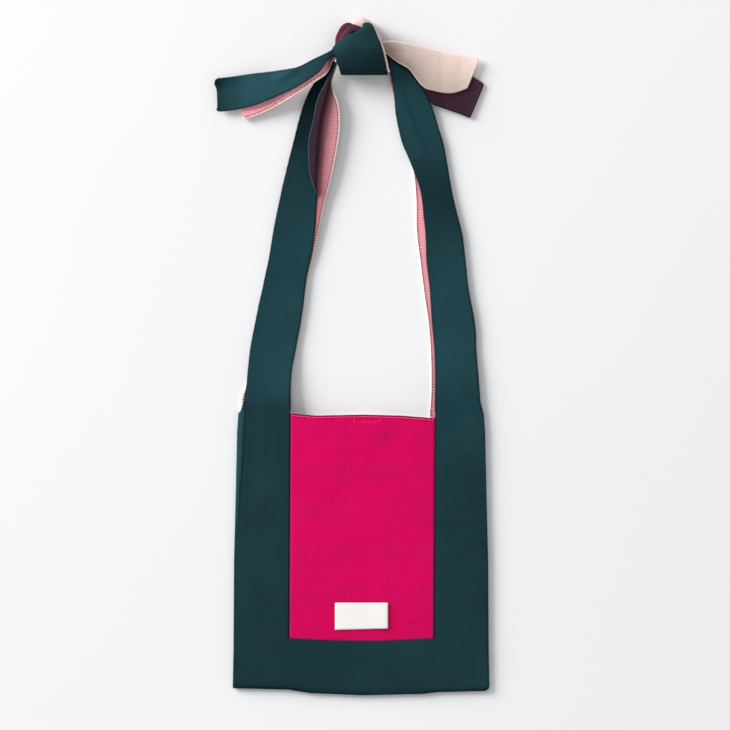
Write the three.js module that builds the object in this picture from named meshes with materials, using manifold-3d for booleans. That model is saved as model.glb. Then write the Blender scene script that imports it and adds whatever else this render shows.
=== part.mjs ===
// A knot bag of double-faced knit, lying on its back: a flat pouch with an
// inlaid front panel, a pair of shoulder straps on each side, and the knot
// that ties the four straps together, with its four free tail layers.
// Millimetres: +X to the right of the front, +Y from the pouch to the knot,
// +Z up from the surface that the bag lies on. The origin is the middle of
// the pouch's back face.

import * as THREE from 'three';
import { mergeVertices } from 'three/addons/utils/BufferGeometryUtils.js';
import Module from 'manifold-3d';

const wasm = await Module();
wasm.setup();

const { lerp, smoothstep } = THREE.MathUtils;

// Driving dimensions of the knit
const knitThickness = 2;
const seatGap = 0.3;

// Driving dimensions of the pouch
const pouchWidth = 256;
const pouchHeight = 276.5;
const pouchSwell = 8;
const bottomSag = 7;
const mouthDip = 7;
const seamWidth = 4;
const seamRounding = 1;
const hemWidth = 3;
const insetSideBorder = 50.24;
const insetFootBorder = 50.2;
const insetFootSag = 2.5;
const backRimDrop = 0.4;

// Driving dimensions of what is sewn to the front
const labelWidth = 53;
const labelHeight = 26.5;
const labelThickness = 0.8;
const labelRise = 9.3;
const labelCorner = 2;
const tagWidth = 25;
const tagLength = 45;
const tagThickness = 0.8;
const tackHeight = 6;
const tackThread = 0.7;
const tackShift = 5;
const tackInset = 1.5;

// Driving dimensions of the straps
const strapWidth = 46;
const shoulderStep = 5;
const leftStrapLength = 338;
const rightStrapReach = 9.7;
const strapLift = 4.6;

// Driving dimensions of the knot and its tails
const knotWidth = 54.5;
const knotLength = 55;
const knotHeight = 30;
const knotEdgeShow = 1.5;
const strandLevel = 13;
const earLevel = 9.6;
const leftTailLength = 114.5;
const leftUnderTailLength = 87;
const rightTailLength = 89.5;
const rightUnderTailLength = 93;
const tailTipHeight = 0.5;

// How far a cutting shape runs past what it cuts
const overrun = 1;

// Where the pouch ends and the handle begins
const rimY = pouchHeight / 2;
const bottomY = -rimY;
const frontLevel = knitThickness + seatGap;
const knotBottomY = rimY + leftStrapLength;
const knotCentreY = knotBottomY + knotLength / 2;

// Pairs of [height share, width share] up the pouch's sides
const pouchSideShares = [[0, 1], [0.14, 0.994], [0.46, 0.99], [0.64, 0.98], [0.93, 0.966], [1, 0.955]];
// Pairs of [place across share, sag share] along the pouch's bottom edge
const bottomSagShares = [
  [-1, 0], [-0.57, 0.21], [-0.4, 0.7], [0, 1], [0.48, 0.82], [0.59, 0.57], [0.97, 0.39], [1, 0],
];
// Pairs of [place across share, dip share] along the front's rim
const mouthDipShares = [[-1, 0.26], [-0.65, 0.57], [0, 0.43], [0.54, 0.57], [0.86, 0.83], [1, 1]];

// The inset, between its plain borders beside it at the rim and below it
const rimWidth = pouchWidth * pouchSideShares.at(-1)[1];
const insetWidth = rimWidth - 2 * insetSideBorder;
const insetFootY = bottomY + insetFootBorder;

// Rows of [length share, bow share, width share] from a strap's root to the knot
const leftFrontStrapShares = [
  [0, 0, 1.02], [0.124, -0.11, 0.97], [0.272, -0.13, 1], [0.45, -0.135, 0.925], [0.538, -0.15, 0.92],
  [0.627, -0.19, 0.83], [0.686, -0.24, 0.7], [0.746, -0.26, 0.61], [0.864, -0.267, 0.48],
  [0.923, -0.23, 0.44], [0.964, -0.16, 0.36], [1, 0, 0.28],
];
const leftBackStrapShares = [
  [0, -0.06, 1], [0.124, -0.14, 0.98], [0.272, -0.14, 0.98], [0.361, -0.135, 0.96], [0.45, -0.105, 0.955],
  [0.627, -0.055, 0.925], [0.686, -0.01, 0.9], [0.746, 0.03, 0.85], [0.864, 0.063, 0.67],
  [0.923, 0.025, 0.48], [0.964, -0.065, 0.3], [1, -0.02, 0.26],
];
const rightFrontStrapShares = [
  [0, 0.05, 1], [0.121, 0.18, 0.94], [0.265, 0.3, 0.93], [0.351, 0.33, 0.85], [0.437, 0.375, 0.85],
  [0.523, 0.43, 0.79], [0.61, 0.44, 0.7], [0.667, 0.41, 0.73], [0.725, 0.375, 0.81], [0.782, 0.315, 0.895],
  [0.84, 0.28, 0.855], [0.894, 0.26, 0.78], [0.938, 0.21, 0.62], [0.972, 0.12, 0.43], [1, 0.03, 0.2],
];
const rightBackStrapShares = [
  [0, -0.05, 1], [0.121, 0.11, 0.98], [0.265, 0.24, 0.98], [0.437, 0.28, 0.955], [0.523, 0.315, 0.93],
  [0.61, 0.39, 0.87], [0.68, 0.4, 0.8], [0.753, 0.385, 0.8], [0.84, 0.305, 0.74], [0.897, 0.25, 0.74],
  [0.938, 0.175, 0.56], [0.972, 0.09, 0.36], [1, 0.03, 0.2],
];

// Rows of [length share, drop share, width share, skew share] from the knot to a tail's end
const leftTailShares = [
  [0, 0, 0.2, 0], [0.08, 0.155, 0.31, 0], [0.17, 0.29, 0.37, 0], [0.25, 0.43, 0.42, 0], [0.42, 0.59, 0.53, 0],
  [0.64, 0.73, 0.67, 0], [0.78, 0.8, 0.73, 0], [1, 0.87, 0.72, 0.04],
];
const leftUnderTailShares = [
  [0, 0.1, 0.34, 0], [0.1, 0.28, 0.48, 0], [0.33, 0.53, 0.54, 0], [0.57, 0.71, 0.7, 0.05],
  [0.84, 0.88, 0.86, 0.08], [1, 0.94, 0.86, 0.1],
];
const rightTailShares = [
  [0, 0, 0.27, 0], [0.13, 0.09, 0.46, 0], [0.29, 0.25, 0.65, 0.05], [0.45, 0.42, 0.87, 0.1],
  [0.63, 0.52, 0.91, 0.2], [0.82, 0.56, 0.84, 0.3], [1, 0.56, 0.66, 0.4],
];
const rightUnderTailShares = [
  [0, 0.03, 0.3, 0], [0.17, 0.22, 0.52, 0], [0.33, 0.44, 0.7, 0.05], [0.43, 0.55, 0.76, 0.05],
  [0.52, 0.77, 0.87, 0.1], [0.76, 0.95, 0.83, 0.3], [1, 1.17, 0.73, 0.43],
];
// Pairs of [length share, height share] of how a tail comes down from the knot
const tailFallShares = [[0, 1], [0.1, 0.97], [0.28, 0.82], [0.5, 0.64], [0.8, 0.16], [1, 0]];

// Outlines in the knot's plan, as shares of half its width and half its length
const wrapShares = [
  [-0.66, -0.98], [-0.78, -0.855], [-0.84, -0.59], [-0.91, -0.37], [-1, -0.15], [-0.97, -0.04],
  [-0.855, 0.055], [-0.46, 0.316], [0, 0.564], [0.02, 0.716], [0.136, 0.825], [0.286, 0.78],
  [0.437, 0.65], [0.547, 0.465], [0.7, 0.055], [0.79, -0.316], [0.9, -0.687], [0.958, -1.02],
];
const leftLoopShares = [
  [-0.9, 0.1], [-0.914, 0.167], [-0.895, 0.335], [-0.82, 0.52], [-0.71, 0.705], [-0.54, 0.825],
  [-0.426, 0.825], [-0.275, 0.76], [-0.03, 0.687], [0, 0.5],
];
const topLoopShares = [
  [-0.38, 0.86], [-0.31, 0.91], [0.02, 1.02], [0.25, 0.927], [0.396, 0.8], [0.547, 0.65], [0.7, 0.465],
  [0.763, 0.22], [0.5, 0.2], [0.1, 0.6], [-0.005, 0.72], [-0.264, 0.8],
];
const leftEarShares = [
  [-1.36, -0.5], [-1.36, -0.985], [-0.87, -0.985], [-0.93, -0.6], [-1.03, -0.2], [-1.1, -0.2], [-1.1, -0.5],
];
const rightEarShares = [[0.9, -0.25], [1.4, -0.42], [1.4, -0.63], [0.98, -0.63]];
const strandShares = [
  [-1.09, -0.8], [-1.09, 0], [-0.88, 0.1], [-0.8, 0.45], [-0.6, 0.7], [0.3, 0.76], [0.5, 0.55],
  [0.66, 0.19], [0.86, 0.19], [0.96, -0.28], [0.96, -0.85],
];
// How far the strands inside the knot run out on each side, in half widths
const strandEndShare = 1.09;
const rightStrandEndShare = 0.86;
// How far below the knot's middle each tail leaves it, in knot lengths
const leftTailDropShare = 0.155;
const rightTailDropShare = 0.018;
// Where along a length the swell is full, and where a strap lies flat and starts to rise
const swellFullShare = 0.4;
const strapFlatShare = 0.35;
const strapRiseShare = 0.8;

// The value of a table of pairs at a place, on straight lines between its rows
function readTable(rows, place, column = 1) {
  const last = rows.length - 1;
  const next = Math.min(last, Math.max(1, rows.findIndex((row) => row[0] >= place)));
  const from = rows[next - 1];
  const to = rows[next];
  const share = THREE.MathUtils.clamp((place - from[0]) / (to[0] - from[0]), 0, 1);
  return lerp(from[column], to[column], share);
}

function halfWidthAt(y) {
  return readTable(pouchSideShares, (y - bottomY) / pouchHeight) * pouchWidth / 2;
}

function bottomEdgeAt(x) {
  return bottomY - bottomSag * readTable(bottomSagShares, x / (pouchWidth / 2));
}

function mouthEdgeAt(x) {
  return rimY - mouthDip * readTable(mouthDipShares, x / (insetWidth / 2));
}

// How far the front stands off the back at a point of the pouch
function swellAt(x, y) {
  const across = Math.min(1, Math.abs(x) / halfWidthAt(y));
  const up = smoothstep((y - bottomY) / pouchHeight, 0, swellFullShare);
  return pouchSwell * (1 - across ** 4) * up;
}

// A closed body between two grids of points, rows of Vector3 with the same plan
function bodyBetween(lower, upper) {
  const rowCount = lower.length;
  const columnCount = lower[0].length;
  const positions = [];
  for (const grid of [lower, upper]) {
    for (const row of grid) {
      for (const point of row) positions.push(point.x, point.y, point.z);
    }
  }
  const topStart = rowCount * columnCount;
  const at = (row, column) => row * columnCount + column;
  const indices = [];
  const quad = (a, b, c, d) => indices.push(a, b, c, a, c, d);
  for (let row = 0; row < rowCount - 1; row += 1) {
    for (let column = 0; column < columnCount - 1; column += 1) {
      const corners = [at(row, column), at(row, column + 1), at(row + 1, column + 1), at(row + 1, column)];
      quad(...corners.map((index) => index + topStart));
      quad(...corners.reverse());
    }
  }
  const wall = (a, b) => quad(a, b, b + topStart, a + topStart);
  for (let column = 0; column < columnCount - 1; column += 1) {
    wall(at(0, column), at(0, column + 1));
    wall(at(rowCount - 1, column + 1), at(rowCount - 1, column));
  }
  for (let row = 0; row < rowCount - 1; row += 1) {
    wall(at(row + 1, 0), at(row, 0));
    wall(at(row, columnCount - 1), at(row + 1, columnCount - 1));
  }
  const geometry = new THREE.BufferGeometry();
  geometry.setAttribute('position', new THREE.Float32BufferAttribute(positions, 3));
  geometry.setIndex(indices);
  return geometry;
}

// A sheet of one thickness over a grid of underside points
function sheetOver(lower, thickness) {
  const raised = (point) => new THREE.Vector3(point.x, point.y, point.z + thickness);
  const upper = lower.map((row) => row.map(raised));
  return bodyBetween(lower, upper);
}

function gridOf(rowCount, columnCount, pointAt) {
  const grid = [];
  for (let row = 0; row <= rowCount; row += 1) {
    const points = [];
    for (let column = 0; column <= columnCount; column += 1) {
      points.push(pointAt(row / Math.max(rowCount, 1), column / columnCount));
    }
    grid.push(points);
  }
  return grid;
}

function solidOf(geometry) {
  const bare = geometry.clone();
  bare.deleteAttribute('normal');
  bare.deleteAttribute('uv');
  const merged = mergeVertices(bare);
  return new wasm.Manifold(new wasm.Mesh({
    numProp: 3,
    vertProperties: new Float32Array(merged.attributes.position.array),
    triVerts: new Uint32Array(merged.index.array),
  }));
}

function geometryOf(solid) {
  const mesh = solid.getMesh();
  const geometry = new THREE.BufferGeometry();
  geometry.setAttribute('position', new THREE.BufferAttribute(new Float32Array(mesh.vertProperties), 3));
  geometry.setIndex(new THREE.BufferAttribute(new Uint32Array(mesh.triVerts), 1));
  return geometry;
}

// An upright body over an outline of Vector2 points
function prismOf(points, fromZ, toZ) {
  const shape = new THREE.Shape(points);
  const geometry = new THREE.ExtrudeGeometry(shape, { depth: toZ - fromZ, bevelEnabled: false });
  geometry.translate(0, 0, fromZ);
  return solidOf(geometry);
}

// A cutting shape that runs past the object below and above
function tallPrismOf(points) {
  return prismOf(points, -overrun, knotHeight + overrun);
}

const pieces = new THREE.Group();

function addPiece(name, geometry, look) {
  const { color, roughness } = look;
  const material = new THREE.MeshStandardMaterial({ color, roughness, metalness: 0 });
  const mesh = new THREE.Mesh(geometry, material);
  mesh.name = name;
  pieces.add(mesh);
  return mesh;
}

const looks = {
  teal: { color: '#1f3d44', roughness: 0.9 },
  magenta: { color: '#d60f5b', roughness: 0.88 },
  beige: { color: '#e0cabf', roughness: 0.9 },
  pink: { color: '#ee919d', roughness: 0.9 },
  plum: { color: '#452b3a', roughness: 0.9 },
  thread: { color: '#e7b9c0', roughness: 0.8 },
  label: { color: '#f4f2ec', roughness: 0.85 },
};

// A point of either panel, from the seams at 0 to the rim and from side to side
function panelPoint(up, across) {
  const side = lerp(-1, 1, across);
  const lowY = bottomEdgeAt(side * pouchWidth / 2) + seamWidth + seatGap;
  const y = lerp(lowY, rimY, up);
  return new THREE.Vector2(side * (halfWidthAt(y) - seamWidth - seatGap), y);
}

// The flat back panel before its hem is parted from it
function wholeBack() {
  const foot = gridOf(0, 24, (up, across) => panelPoint(0, across))[0];
  const rightSide = pouchSideShares.slice(1).map(([up]) => panelPoint(up, 1));
  const leftSide = pouchSideShares.slice(1).map(([up]) => panelPoint(up, 0)).reverse();
  return prismOf([...foot, ...rightSide, ...leftSide], 0, knitThickness);
}

// The swelling front panel before it is parted into frame, inset and hem
function wholeFront() {
  const grid = gridOf(14, 24, (up, across) => {
    const { x, y } = panelPoint(up, across);
    return new THREE.Vector3(x, y, frontLevel + swellAt(x, y));
  });
  return solidOf(sheetOver(grid, knitThickness));
}

const backPanel = wholeBack();
const frontPanel = wholeFront();

// A closed outline in plan between a low edge and a high edge that vary along X
function bandOutline(half, lowYAt, highYAt) {
  const stepCount = 12;
  const low = [];
  const high = [];
  for (let step = 0; step <= stepCount; step += 1) {
    const x = lerp(-half, half, step / stepCount);
    low.push(new THREE.Vector2(x, lowYAt(x)));
    high.unshift(new THREE.Vector2(x, highYAt(x)));
  }
  return [...low, ...high];
}

// The outline of the inset, grown by a margin, from its sagging foot up to a given edge
function insetOutline(margin, topYAt) {
  const half = insetWidth / 2 + margin;
  const footYAt = (x) => insetFootY - insetFootSag * (1 - (x / half) ** 2) - margin;
  return bandOutline(half, footYAt, topYAt);
}

function addFront() {
  const pastRim = () => rimY + overrun;
  const belowHem = (x) => mouthEdgeAt(x) - hemWidth - seatGap;
  const frame = frontPanel.subtract(tallPrismOf(insetOutline(seatGap, pastRim)));
  addPiece('front_frame', geometryOf(frame), looks.teal);
  const inset = frontPanel.intersect(tallPrismOf(insetOutline(0, belowHem)));
  addPiece('front_inset', geometryOf(inset), looks.magenta);
  const hem = bandOutline(insetWidth / 2, (x) => mouthEdgeAt(x) - hemWidth, mouthEdgeAt);
  addPiece('front_rim_hem', geometryOf(frontPanel.intersect(tallPrismOf(hem))), looks.magenta);
}

// A rectangle in plan from its low and high corners
function rectangle(lowX, lowY, highX, highY) {
  return [
    new THREE.Vector2(lowX, lowY), new THREE.Vector2(highX, lowY),
    new THREE.Vector2(highX, highY), new THREE.Vector2(lowX, highY),
  ];
}

// The back's rim between the straps lies just under the front's
function addBack() {
  const half = rimWidth / 2 - shoulderStep - strapWidth;
  const rimAt = (x) => mouthEdgeAt(x) - backRimDrop;
  const hemFootAt = (x) => rimAt(x) - hemWidth;
  const pocket = bandOutline(half + seatGap, (x) => hemFootAt(x) - seatGap, () => rimY + overrun);
  addPiece('back_panel', geometryOf(backPanel.subtract(tallPrismOf(pocket))), looks.beige);
  const hem = bandOutline(half, hemFootAt, rimAt);
  addPiece('back_rim_hem', geometryOf(backPanel.intersect(tallPrismOf(hem))), looks.beige);
}

// The linked seam down one side, rounded off on its outer edge
function addSideSeam(name, side) {
  const topLevel = frontLevel + knitThickness;
  const place = (raise) => (up, across) => {
    const y = lerp(bottomY + seamWidth + seatGap, rimY, up);
    const outward = side > 0 ? across : 1 - across;
    const x = side * (halfWidthAt(y) - seamWidth * (1 - outward));
    return new THREE.Vector3(x, y, raise(outward));
  };
  const rounding = (outward) => seamRounding * outward ** 2;
  const lower = gridOf(10, 3, place((outward) => rounding(outward)));
  const upper = gridOf(10, 3, place((outward) => topLevel - rounding(outward)));
  addPiece(name, bodyBetween(lower, upper), looks.teal);
}

function addBottomSeam() {
  const topLevel = frontLevel + knitThickness;
  const place = (raise) => (up, across) => {
    const x = lerp(-1, 1, across) * pouchWidth / 2;
    return new THREE.Vector3(x, bottomEdgeAt(x) + seamWidth * up, raise(1 - up));
  };
  const rounding = (outward) => seamRounding * outward ** 2;
  const lower = gridOf(3, 24, place((outward) => rounding(outward)));
  const upper = gridOf(3, 24, place((outward) => topLevel - rounding(outward)));
  addPiece('bottom_seam', bodyBetween(lower, upper), looks.teal);
}

// A blank woven label with rounded corners, following the front's swell
function addLabel() {
  const footY = insetFootY + labelRise;
  const grid = gridOf(6, 12, (up, across) => {
    const x = lerp(-labelWidth / 2, labelWidth / 2, across);
    const y = lerp(footY, footY + labelHeight, up);
    return new THREE.Vector3(x, y, frontLevel + swellAt(x, y) + knitThickness + seatGap);
  });
  const corners = new THREE.Shape();
  const right = labelWidth / 2;
  const topY = footY + labelHeight;
  corners.moveTo(-right + labelCorner, footY);
  corners.lineTo(right - labelCorner, footY);
  corners.quadraticCurveTo(right, footY, right, footY + labelCorner);
  corners.lineTo(right, topY - labelCorner);
  corners.quadraticCurveTo(right, topY, right - labelCorner, topY);
  corners.lineTo(-right + labelCorner, topY);
  corners.quadraticCurveTo(-right, topY, -right, topY - labelCorner);
  corners.lineTo(-right, footY + labelCorner);
  corners.quadraticCurveTo(-right, footY, -right + labelCorner, footY);
  const outline = corners.getPoints(3).slice(0, -1);
  const label = solidOf(sheetOver(grid, labelThickness)).intersect(tallPrismOf(outline));
  addPiece('front_label', geometryOf(label), looks.label);
}

// The tag that hangs inside the mouth, and the stitched box that tacks it to the hem
function addTag() {
  const lowX = tackShift - tagWidth / 2;
  const highX = tackShift + tagWidth / 2;
  const topY = mouthEdgeAt(tackShift) - tackInset;
  const tag = gridOf(8, 4, (up, across) => {
    const x = lerp(lowX, highX, across);
    const y = lerp(topY - tagLength, topY, up);
    return new THREE.Vector3(x, y, frontLevel + swellAt(x, y) - seatGap - tagThickness);
  });
  addPiece('inside_tag', sheetOver(tag, tagThickness), looks.label);
  const lowY = topY - tackHeight;
  const tack = gridOf(6, 6, (up, across) => {
    const x = lerp(lowX, highX, across);
    const y = lerp(lowY, topY, up);
    return new THREE.Vector3(x, y, frontLevel + swellAt(x, y) + knitThickness + seatGap);
  });
  const hollow = rectangle(lowX + tackThread, lowY + tackThread, highX - tackThread, topY - tackThread);
  const stitching = solidOf(sheetOver(tack, tackThread)).subtract(tallPrismOf(hollow));
  addPiece('tag_stitching', geometryOf(stitching), looks.thread);
}

// How high a back strap lies on its way from the pouch to the knot
function strapRiseAt(along) {
  return strapLift * smoothstep(along, strapRiseShare, 1);
}

// One strap from its root at the pouch's rim to its end at the knot
function strapOf({ side, shares, length, endX, inFront }) {
  const rootX = side * (rimWidth / 2 - shoulderStep - strapWidth / 2);
  const rootY = rimY + seatGap;
  const grid = gridOf(30, 4, (along, across) => {
    const middle = lerp(rootX, endX, along) + readTable(shares, along) * strapWidth;
    const width = readTable(shares, along, 2) * strapWidth;
    const x = middle + lerp(-width / 2, width / 2, across);
    const y = lerp(rootY, rimY + length, along);
    const flatten = 1 - smoothstep(along, 0, strapFlatShare);
    const overBack = inFront ? frontLevel + swellAt(x, rimY) * flatten : 0;
    return new THREE.Vector3(x, y, overBack + strapRiseAt(along));
  });
  return sheetOver(grid, knitThickness);
}

function earMiddle(shares) {
  const places = shares.map((point) => point[0]);
  return (Math.min(...places) + Math.max(...places)) / 2 * knotWidth / 2;
}

function addStraps() {
  const rightStrapLength = leftStrapLength + rightStrapReach;
  const left = { side: -1, length: leftStrapLength, endX: earMiddle(leftEarShares) };
  const right = { side: 1, length: rightStrapLength, endX: earMiddle(rightEarShares) };
  const front = { inFront: true };
  const back = { inFront: false };
  addPiece('left_front_strap', strapOf({ ...left, ...front, shares: leftFrontStrapShares }), looks.teal);
  addPiece('left_back_strap', strapOf({ ...left, ...back, shares: leftBackStrapShares }), looks.pink);
  addPiece('right_front_strap', strapOf({ ...right, ...front, shares: rightFrontStrapShares }), looks.teal);
  addPiece('right_back_strap', strapOf({ ...right, ...back, shares: rightBackStrapShares }), looks.pink);
}

// A body along X with the knot's round-ended section, inset from its surface
function bundleOf(inset, fromX, toX) {
  const radius = knotHeight / 2 - inset;
  const straight = knotLength / 2 - knotHeight / 2;
  const section = new THREE.Shape();
  section.absarc(straight, 0, radius, -Math.PI / 2, Math.PI / 2, false);
  section.absarc(-straight, 0, radius, Math.PI / 2, Math.PI * 1.5, false);
  const geometry = new THREE.ExtrudeGeometry(section, {
    depth: toX - fromX, bevelEnabled: false, curveSegments: 10,
  });
  const turn = new THREE.Matrix4().makeBasis(
    new THREE.Vector3(0, 1, 0), new THREE.Vector3(0, 0, 1), new THREE.Vector3(1, 0, 0),
  );
  geometry.applyMatrix4(turn);
  geometry.translate(fromX, knotCentreY, knotHeight / 2);
  return solidOf(geometry);
}

function bandOf(outerInset, innerInset) {
  const core = bundleOf(innerInset, -knotWidth - overrun, knotWidth + overrun);
  return bundleOf(outerInset, -knotWidth, knotWidth).subtract(core);
}

// An outline in the knot's plan, grown outwards by a margin and moved along X
function knotOutline(shares, margin = 0, shift = 0) {
  const halfWidth = knotWidth / 2;
  const halfLength = knotLength / 2;
  return shares.map(([across, up]) => {
    const point = new THREE.Vector2(across * halfWidth, up * halfLength);
    const grown = point.clone().setLength(point.length() + margin);
    return new THREE.Vector2(grown.x + shift, grown.y + knotCentreY);
  });
}

function addKnot() {
  const outerBand = bandOf(0, knitThickness);
  const innerBand = bandOf(frontLevel, frontLevel + knitThickness);
  const wrapPrism = tallPrismOf(knotOutline(wrapShares));
  const wrapClearance = tallPrismOf(knotOutline(wrapShares, seatGap + seatGap));
  const innerPrism = tallPrismOf(knotOutline(wrapShares, 0, knotEdgeShow));
  addPiece('knot_wrap', geometryOf(outerBand.intersect(wrapPrism)), looks.teal);
  addPiece('knot_wrap_lining', geometryOf(innerBand.intersect(innerPrism)), looks.pink);

  const topLoopPrism = tallPrismOf(knotOutline(topLoopShares));
  const leftLoopPrism = tallPrismOf(knotOutline(leftLoopShares));
  const topClearance = tallPrismOf(knotOutline(topLoopShares, seatGap, -seatGap));
  const topLoop = outerBand.intersect(topLoopPrism).subtract(wrapClearance);
  const knotPlan = rectangle(-knotWidth, knotBottomY, knotWidth, knotBottomY + knotLength);
  const upperHalf = prismOf(knotPlan, knotHeight / 2, knotHeight + overrun);
  const leftLoop = outerBand.intersect(leftLoopPrism).intersect(upperHalf)
    .subtract(wrapClearance).subtract(topClearance);
  addPiece('knot_top_loop', geometryOf(topLoop), looks.beige);
  addPiece('knot_left_loop', geometryOf(leftLoop), looks.plum);

  const halfWidth = knotWidth / 2;
  const inside = frontLevel + knitThickness + seatGap;
  const strand = bundleOf(inside, -knotWidth, knotWidth).intersect(tallPrismOf(knotOutline(strandShares)));
  const tailRootX = rightStrandEndShare * halfWidth;
  const pastTailRoot = rectangle(tailRootX, knotBottomY, knotWidth, knotCentreY + knotLength);
  const ears = prismOf(knotOutline(leftEarShares), inside, earLevel)
    .add(prismOf(knotOutline(rightEarShares), inside, earLevel));
  const belowCrossing = prismOf(knotPlan, 0, strandLevel);
  const aboveCrossing = prismOf(knotPlan, strandLevel + seatGap, knotHeight);
  addPiece('knot_lower_strand', geometryOf(strand.intersect(belowCrossing).add(ears)), looks.pink);
  const upperStrand = strand.intersect(aboveCrossing).subtract(tallPrismOf(pastTailRoot));
  addPiece('knot_upper_strand', geometryOf(upperStrand), looks.plum);
}

// One free tail layer from its root beside the knot to its end, above or below its pair
function tailOf({ side, rootX, rootY }, shares, length, isUpper) {
  const level = isUpper ? frontLevel : 0;
  const reach = side < 0 ? leftTailLength : rightUnderTailLength;
  const fallFrom = strandLevel + seatGap - tailTipHeight;
  const grid = gridOf(16, 4, (along, across) => {
    const width = readTable(shares, along, 2) * strapWidth;
    const skew = readTable(shares, along, 3);
    const aside = lerp(-width / 2, width / 2, side < 0 ? across : 1 - across);
    const x = rootX + side * (along * length + skew * aside);
    const y = rootY - readTable(shares, along) * strapWidth + aside;
    const away = THREE.MathUtils.clamp(Math.abs(x - rootX) / reach, 0, 1);
    return new THREE.Vector3(x, y, tailTipHeight + fallFrom * readTable(tailFallShares, away) + level);
  });
  return sheetOver(grid, knitThickness);
}

function addTails() {
  const leftRootX = -strandEndShare * knotWidth / 2 - seatGap;
  const rightRootX = rightStrandEndShare * knotWidth / 2 + seatGap;
  const left = { side: -1, rootX: leftRootX, rootY: knotCentreY - knotLength * leftTailDropShare };
  const right = { side: 1, rootX: rightRootX, rootY: knotCentreY - knotLength * rightTailDropShare };
  addPiece('left_tail_upper', tailOf(left, leftTailShares, leftTailLength, true), looks.teal);
  addPiece('left_tail_lower', tailOf(left, leftUnderTailShares, leftUnderTailLength, false), looks.pink);
  addPiece('right_tail_upper', tailOf(right, rightTailShares, rightTailLength, true), looks.beige);
  addPiece('right_tail_lower', tailOf(right, rightUnderTailShares, rightUnderTailLength, false), looks.plum);
}

addBack();
addFront();
addSideSeam('left_side_seam', -1);
addSideSeam('right_side_seam', 1);
addBottomSeam();
addLabel();
addTag();
addStraps();
addKnot();
addTails();

export default pieces;
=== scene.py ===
# A knot bag of double-faced rib knit, lying on its back and seen from straight above:
# the pouch with its inlaid front panel, two pairs of shoulder straps, and the knot
# that ties them together, with four free tail layers. The tables here are in
# millimetres, in the frame's own axes, and the meshes are in metres.

import math

import bmesh
import bpy
import numpy as np
from mathutils import Matrix, Vector, noise


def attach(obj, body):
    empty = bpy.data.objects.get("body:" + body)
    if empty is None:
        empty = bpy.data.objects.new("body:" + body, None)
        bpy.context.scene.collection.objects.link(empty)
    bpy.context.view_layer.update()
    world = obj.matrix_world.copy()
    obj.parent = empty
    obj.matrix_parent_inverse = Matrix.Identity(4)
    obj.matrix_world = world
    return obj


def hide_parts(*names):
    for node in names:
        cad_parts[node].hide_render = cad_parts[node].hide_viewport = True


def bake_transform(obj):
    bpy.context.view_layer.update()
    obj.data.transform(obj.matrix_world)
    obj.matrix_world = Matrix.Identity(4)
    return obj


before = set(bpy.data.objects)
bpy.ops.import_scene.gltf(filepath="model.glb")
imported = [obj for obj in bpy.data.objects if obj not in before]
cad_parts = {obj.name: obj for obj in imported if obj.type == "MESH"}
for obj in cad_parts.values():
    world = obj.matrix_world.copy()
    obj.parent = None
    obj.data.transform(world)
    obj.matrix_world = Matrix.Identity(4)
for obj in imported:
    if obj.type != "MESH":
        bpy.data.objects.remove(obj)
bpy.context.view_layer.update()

bl_info = {
    "name": "Knot Bag",
    "version": (1, 0, 0),
    "blender": (4, 5, 0),
    "location": "View3D > Sidebar > Knot Bag",
    "description": "Dresses the knitted knot bag around its packed frame",
    "category": "Object",
}

MM = 0.001

# The pouch, as the frame has it
RIM_Y = 138.25
BOTTOM_Y = -138.25
POUCH_HALF = 128.0
POUCH_HEIGHT = 276.5
RIM_HALF = 122.24
SWELL = 8.0
SWELL_FULL_SHARE = 0.4
BOTTOM_SAG = 7.0
MOUTH_DIP = 7.0
MOUTH_HALF = 72.0
BACK_MOUTH_HALF = 71.3
BACK_LEVEL = 1.0
FRONT_LEVEL = 3.3
SEAM_WIDTH = 4.0
SEAM_HEIGHT = 4.3
SIDE_INSET = 1.2  # the panels stop this far inside the folds
LEFT_OUT = 0.9  # the left side bulges this much further out than the right
BACK_RIM_DROP = 0.4
INSET_FOOT_Y = -88.05
INSET_FOOT_SAG = 2.5
INSET_LEAN = 1.2
SIDE_ROWS = [(0, 1), (0.14, 0.994), (0.46, 0.99), (0.64, 0.98), (0.93, 0.966), (1, 0.955)]
BOTTOM_ROWS = [
    (-1, 0), (-0.57, 0.21), (-0.4, 0.7), (0, 1), (0.48, 0.82), (0.59, 0.57), (0.97, 0.39), (1, 0),
]
MOUTH_ROWS = [(-1, 0.26), (-0.65, 0.57), (0, 0.43), (0.54, 0.57), (0.86, 0.83), (1, 1)]
# What handling left in the front: waves as height, length and seed, and creases as height, ends, width
FRONT_WAVES = [(0.5, 62, 3.1), (0.22, 24, 8.4)]
FRONT_CREASES = [(-0.9, (16, 96), (38, 122), 9), (0.5, (-60, 40), (-20, 70), 14)]
HEM_SECTION = (1.5, 1.15)  # half the depth and half the height of the rolled rim

# Grid cells of the front: beside the inlaid panel and across it, below its foot and above
SIDE_CELLS, INSET_CELLS, FOOT_CELLS, RISE_CELLS = 26, 64, 26, 96

# What is sewn on
LABEL_FOOT_Y = -78.75
LABEL_CORNER = 0.9
LABEL_TILT = 0.026
LABEL_CLEARANCE = 2.0
LABEL_STITCH_INSET, LABEL_STITCH_PITCH = 1.5, 2.2
TAG_LEFT_X = -7.5
TAG_WIDTH = 25
TAG_LENGTH = 45
DOT_PITCH = 2.75  # the linking stitches along the selvedges
ROLLED = (1.3, 1.3)  # how wide a band's left and right selvedge usually are
SHARP_ANGLE = 1.1  # edges turned by more than this many radians look sharp

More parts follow.
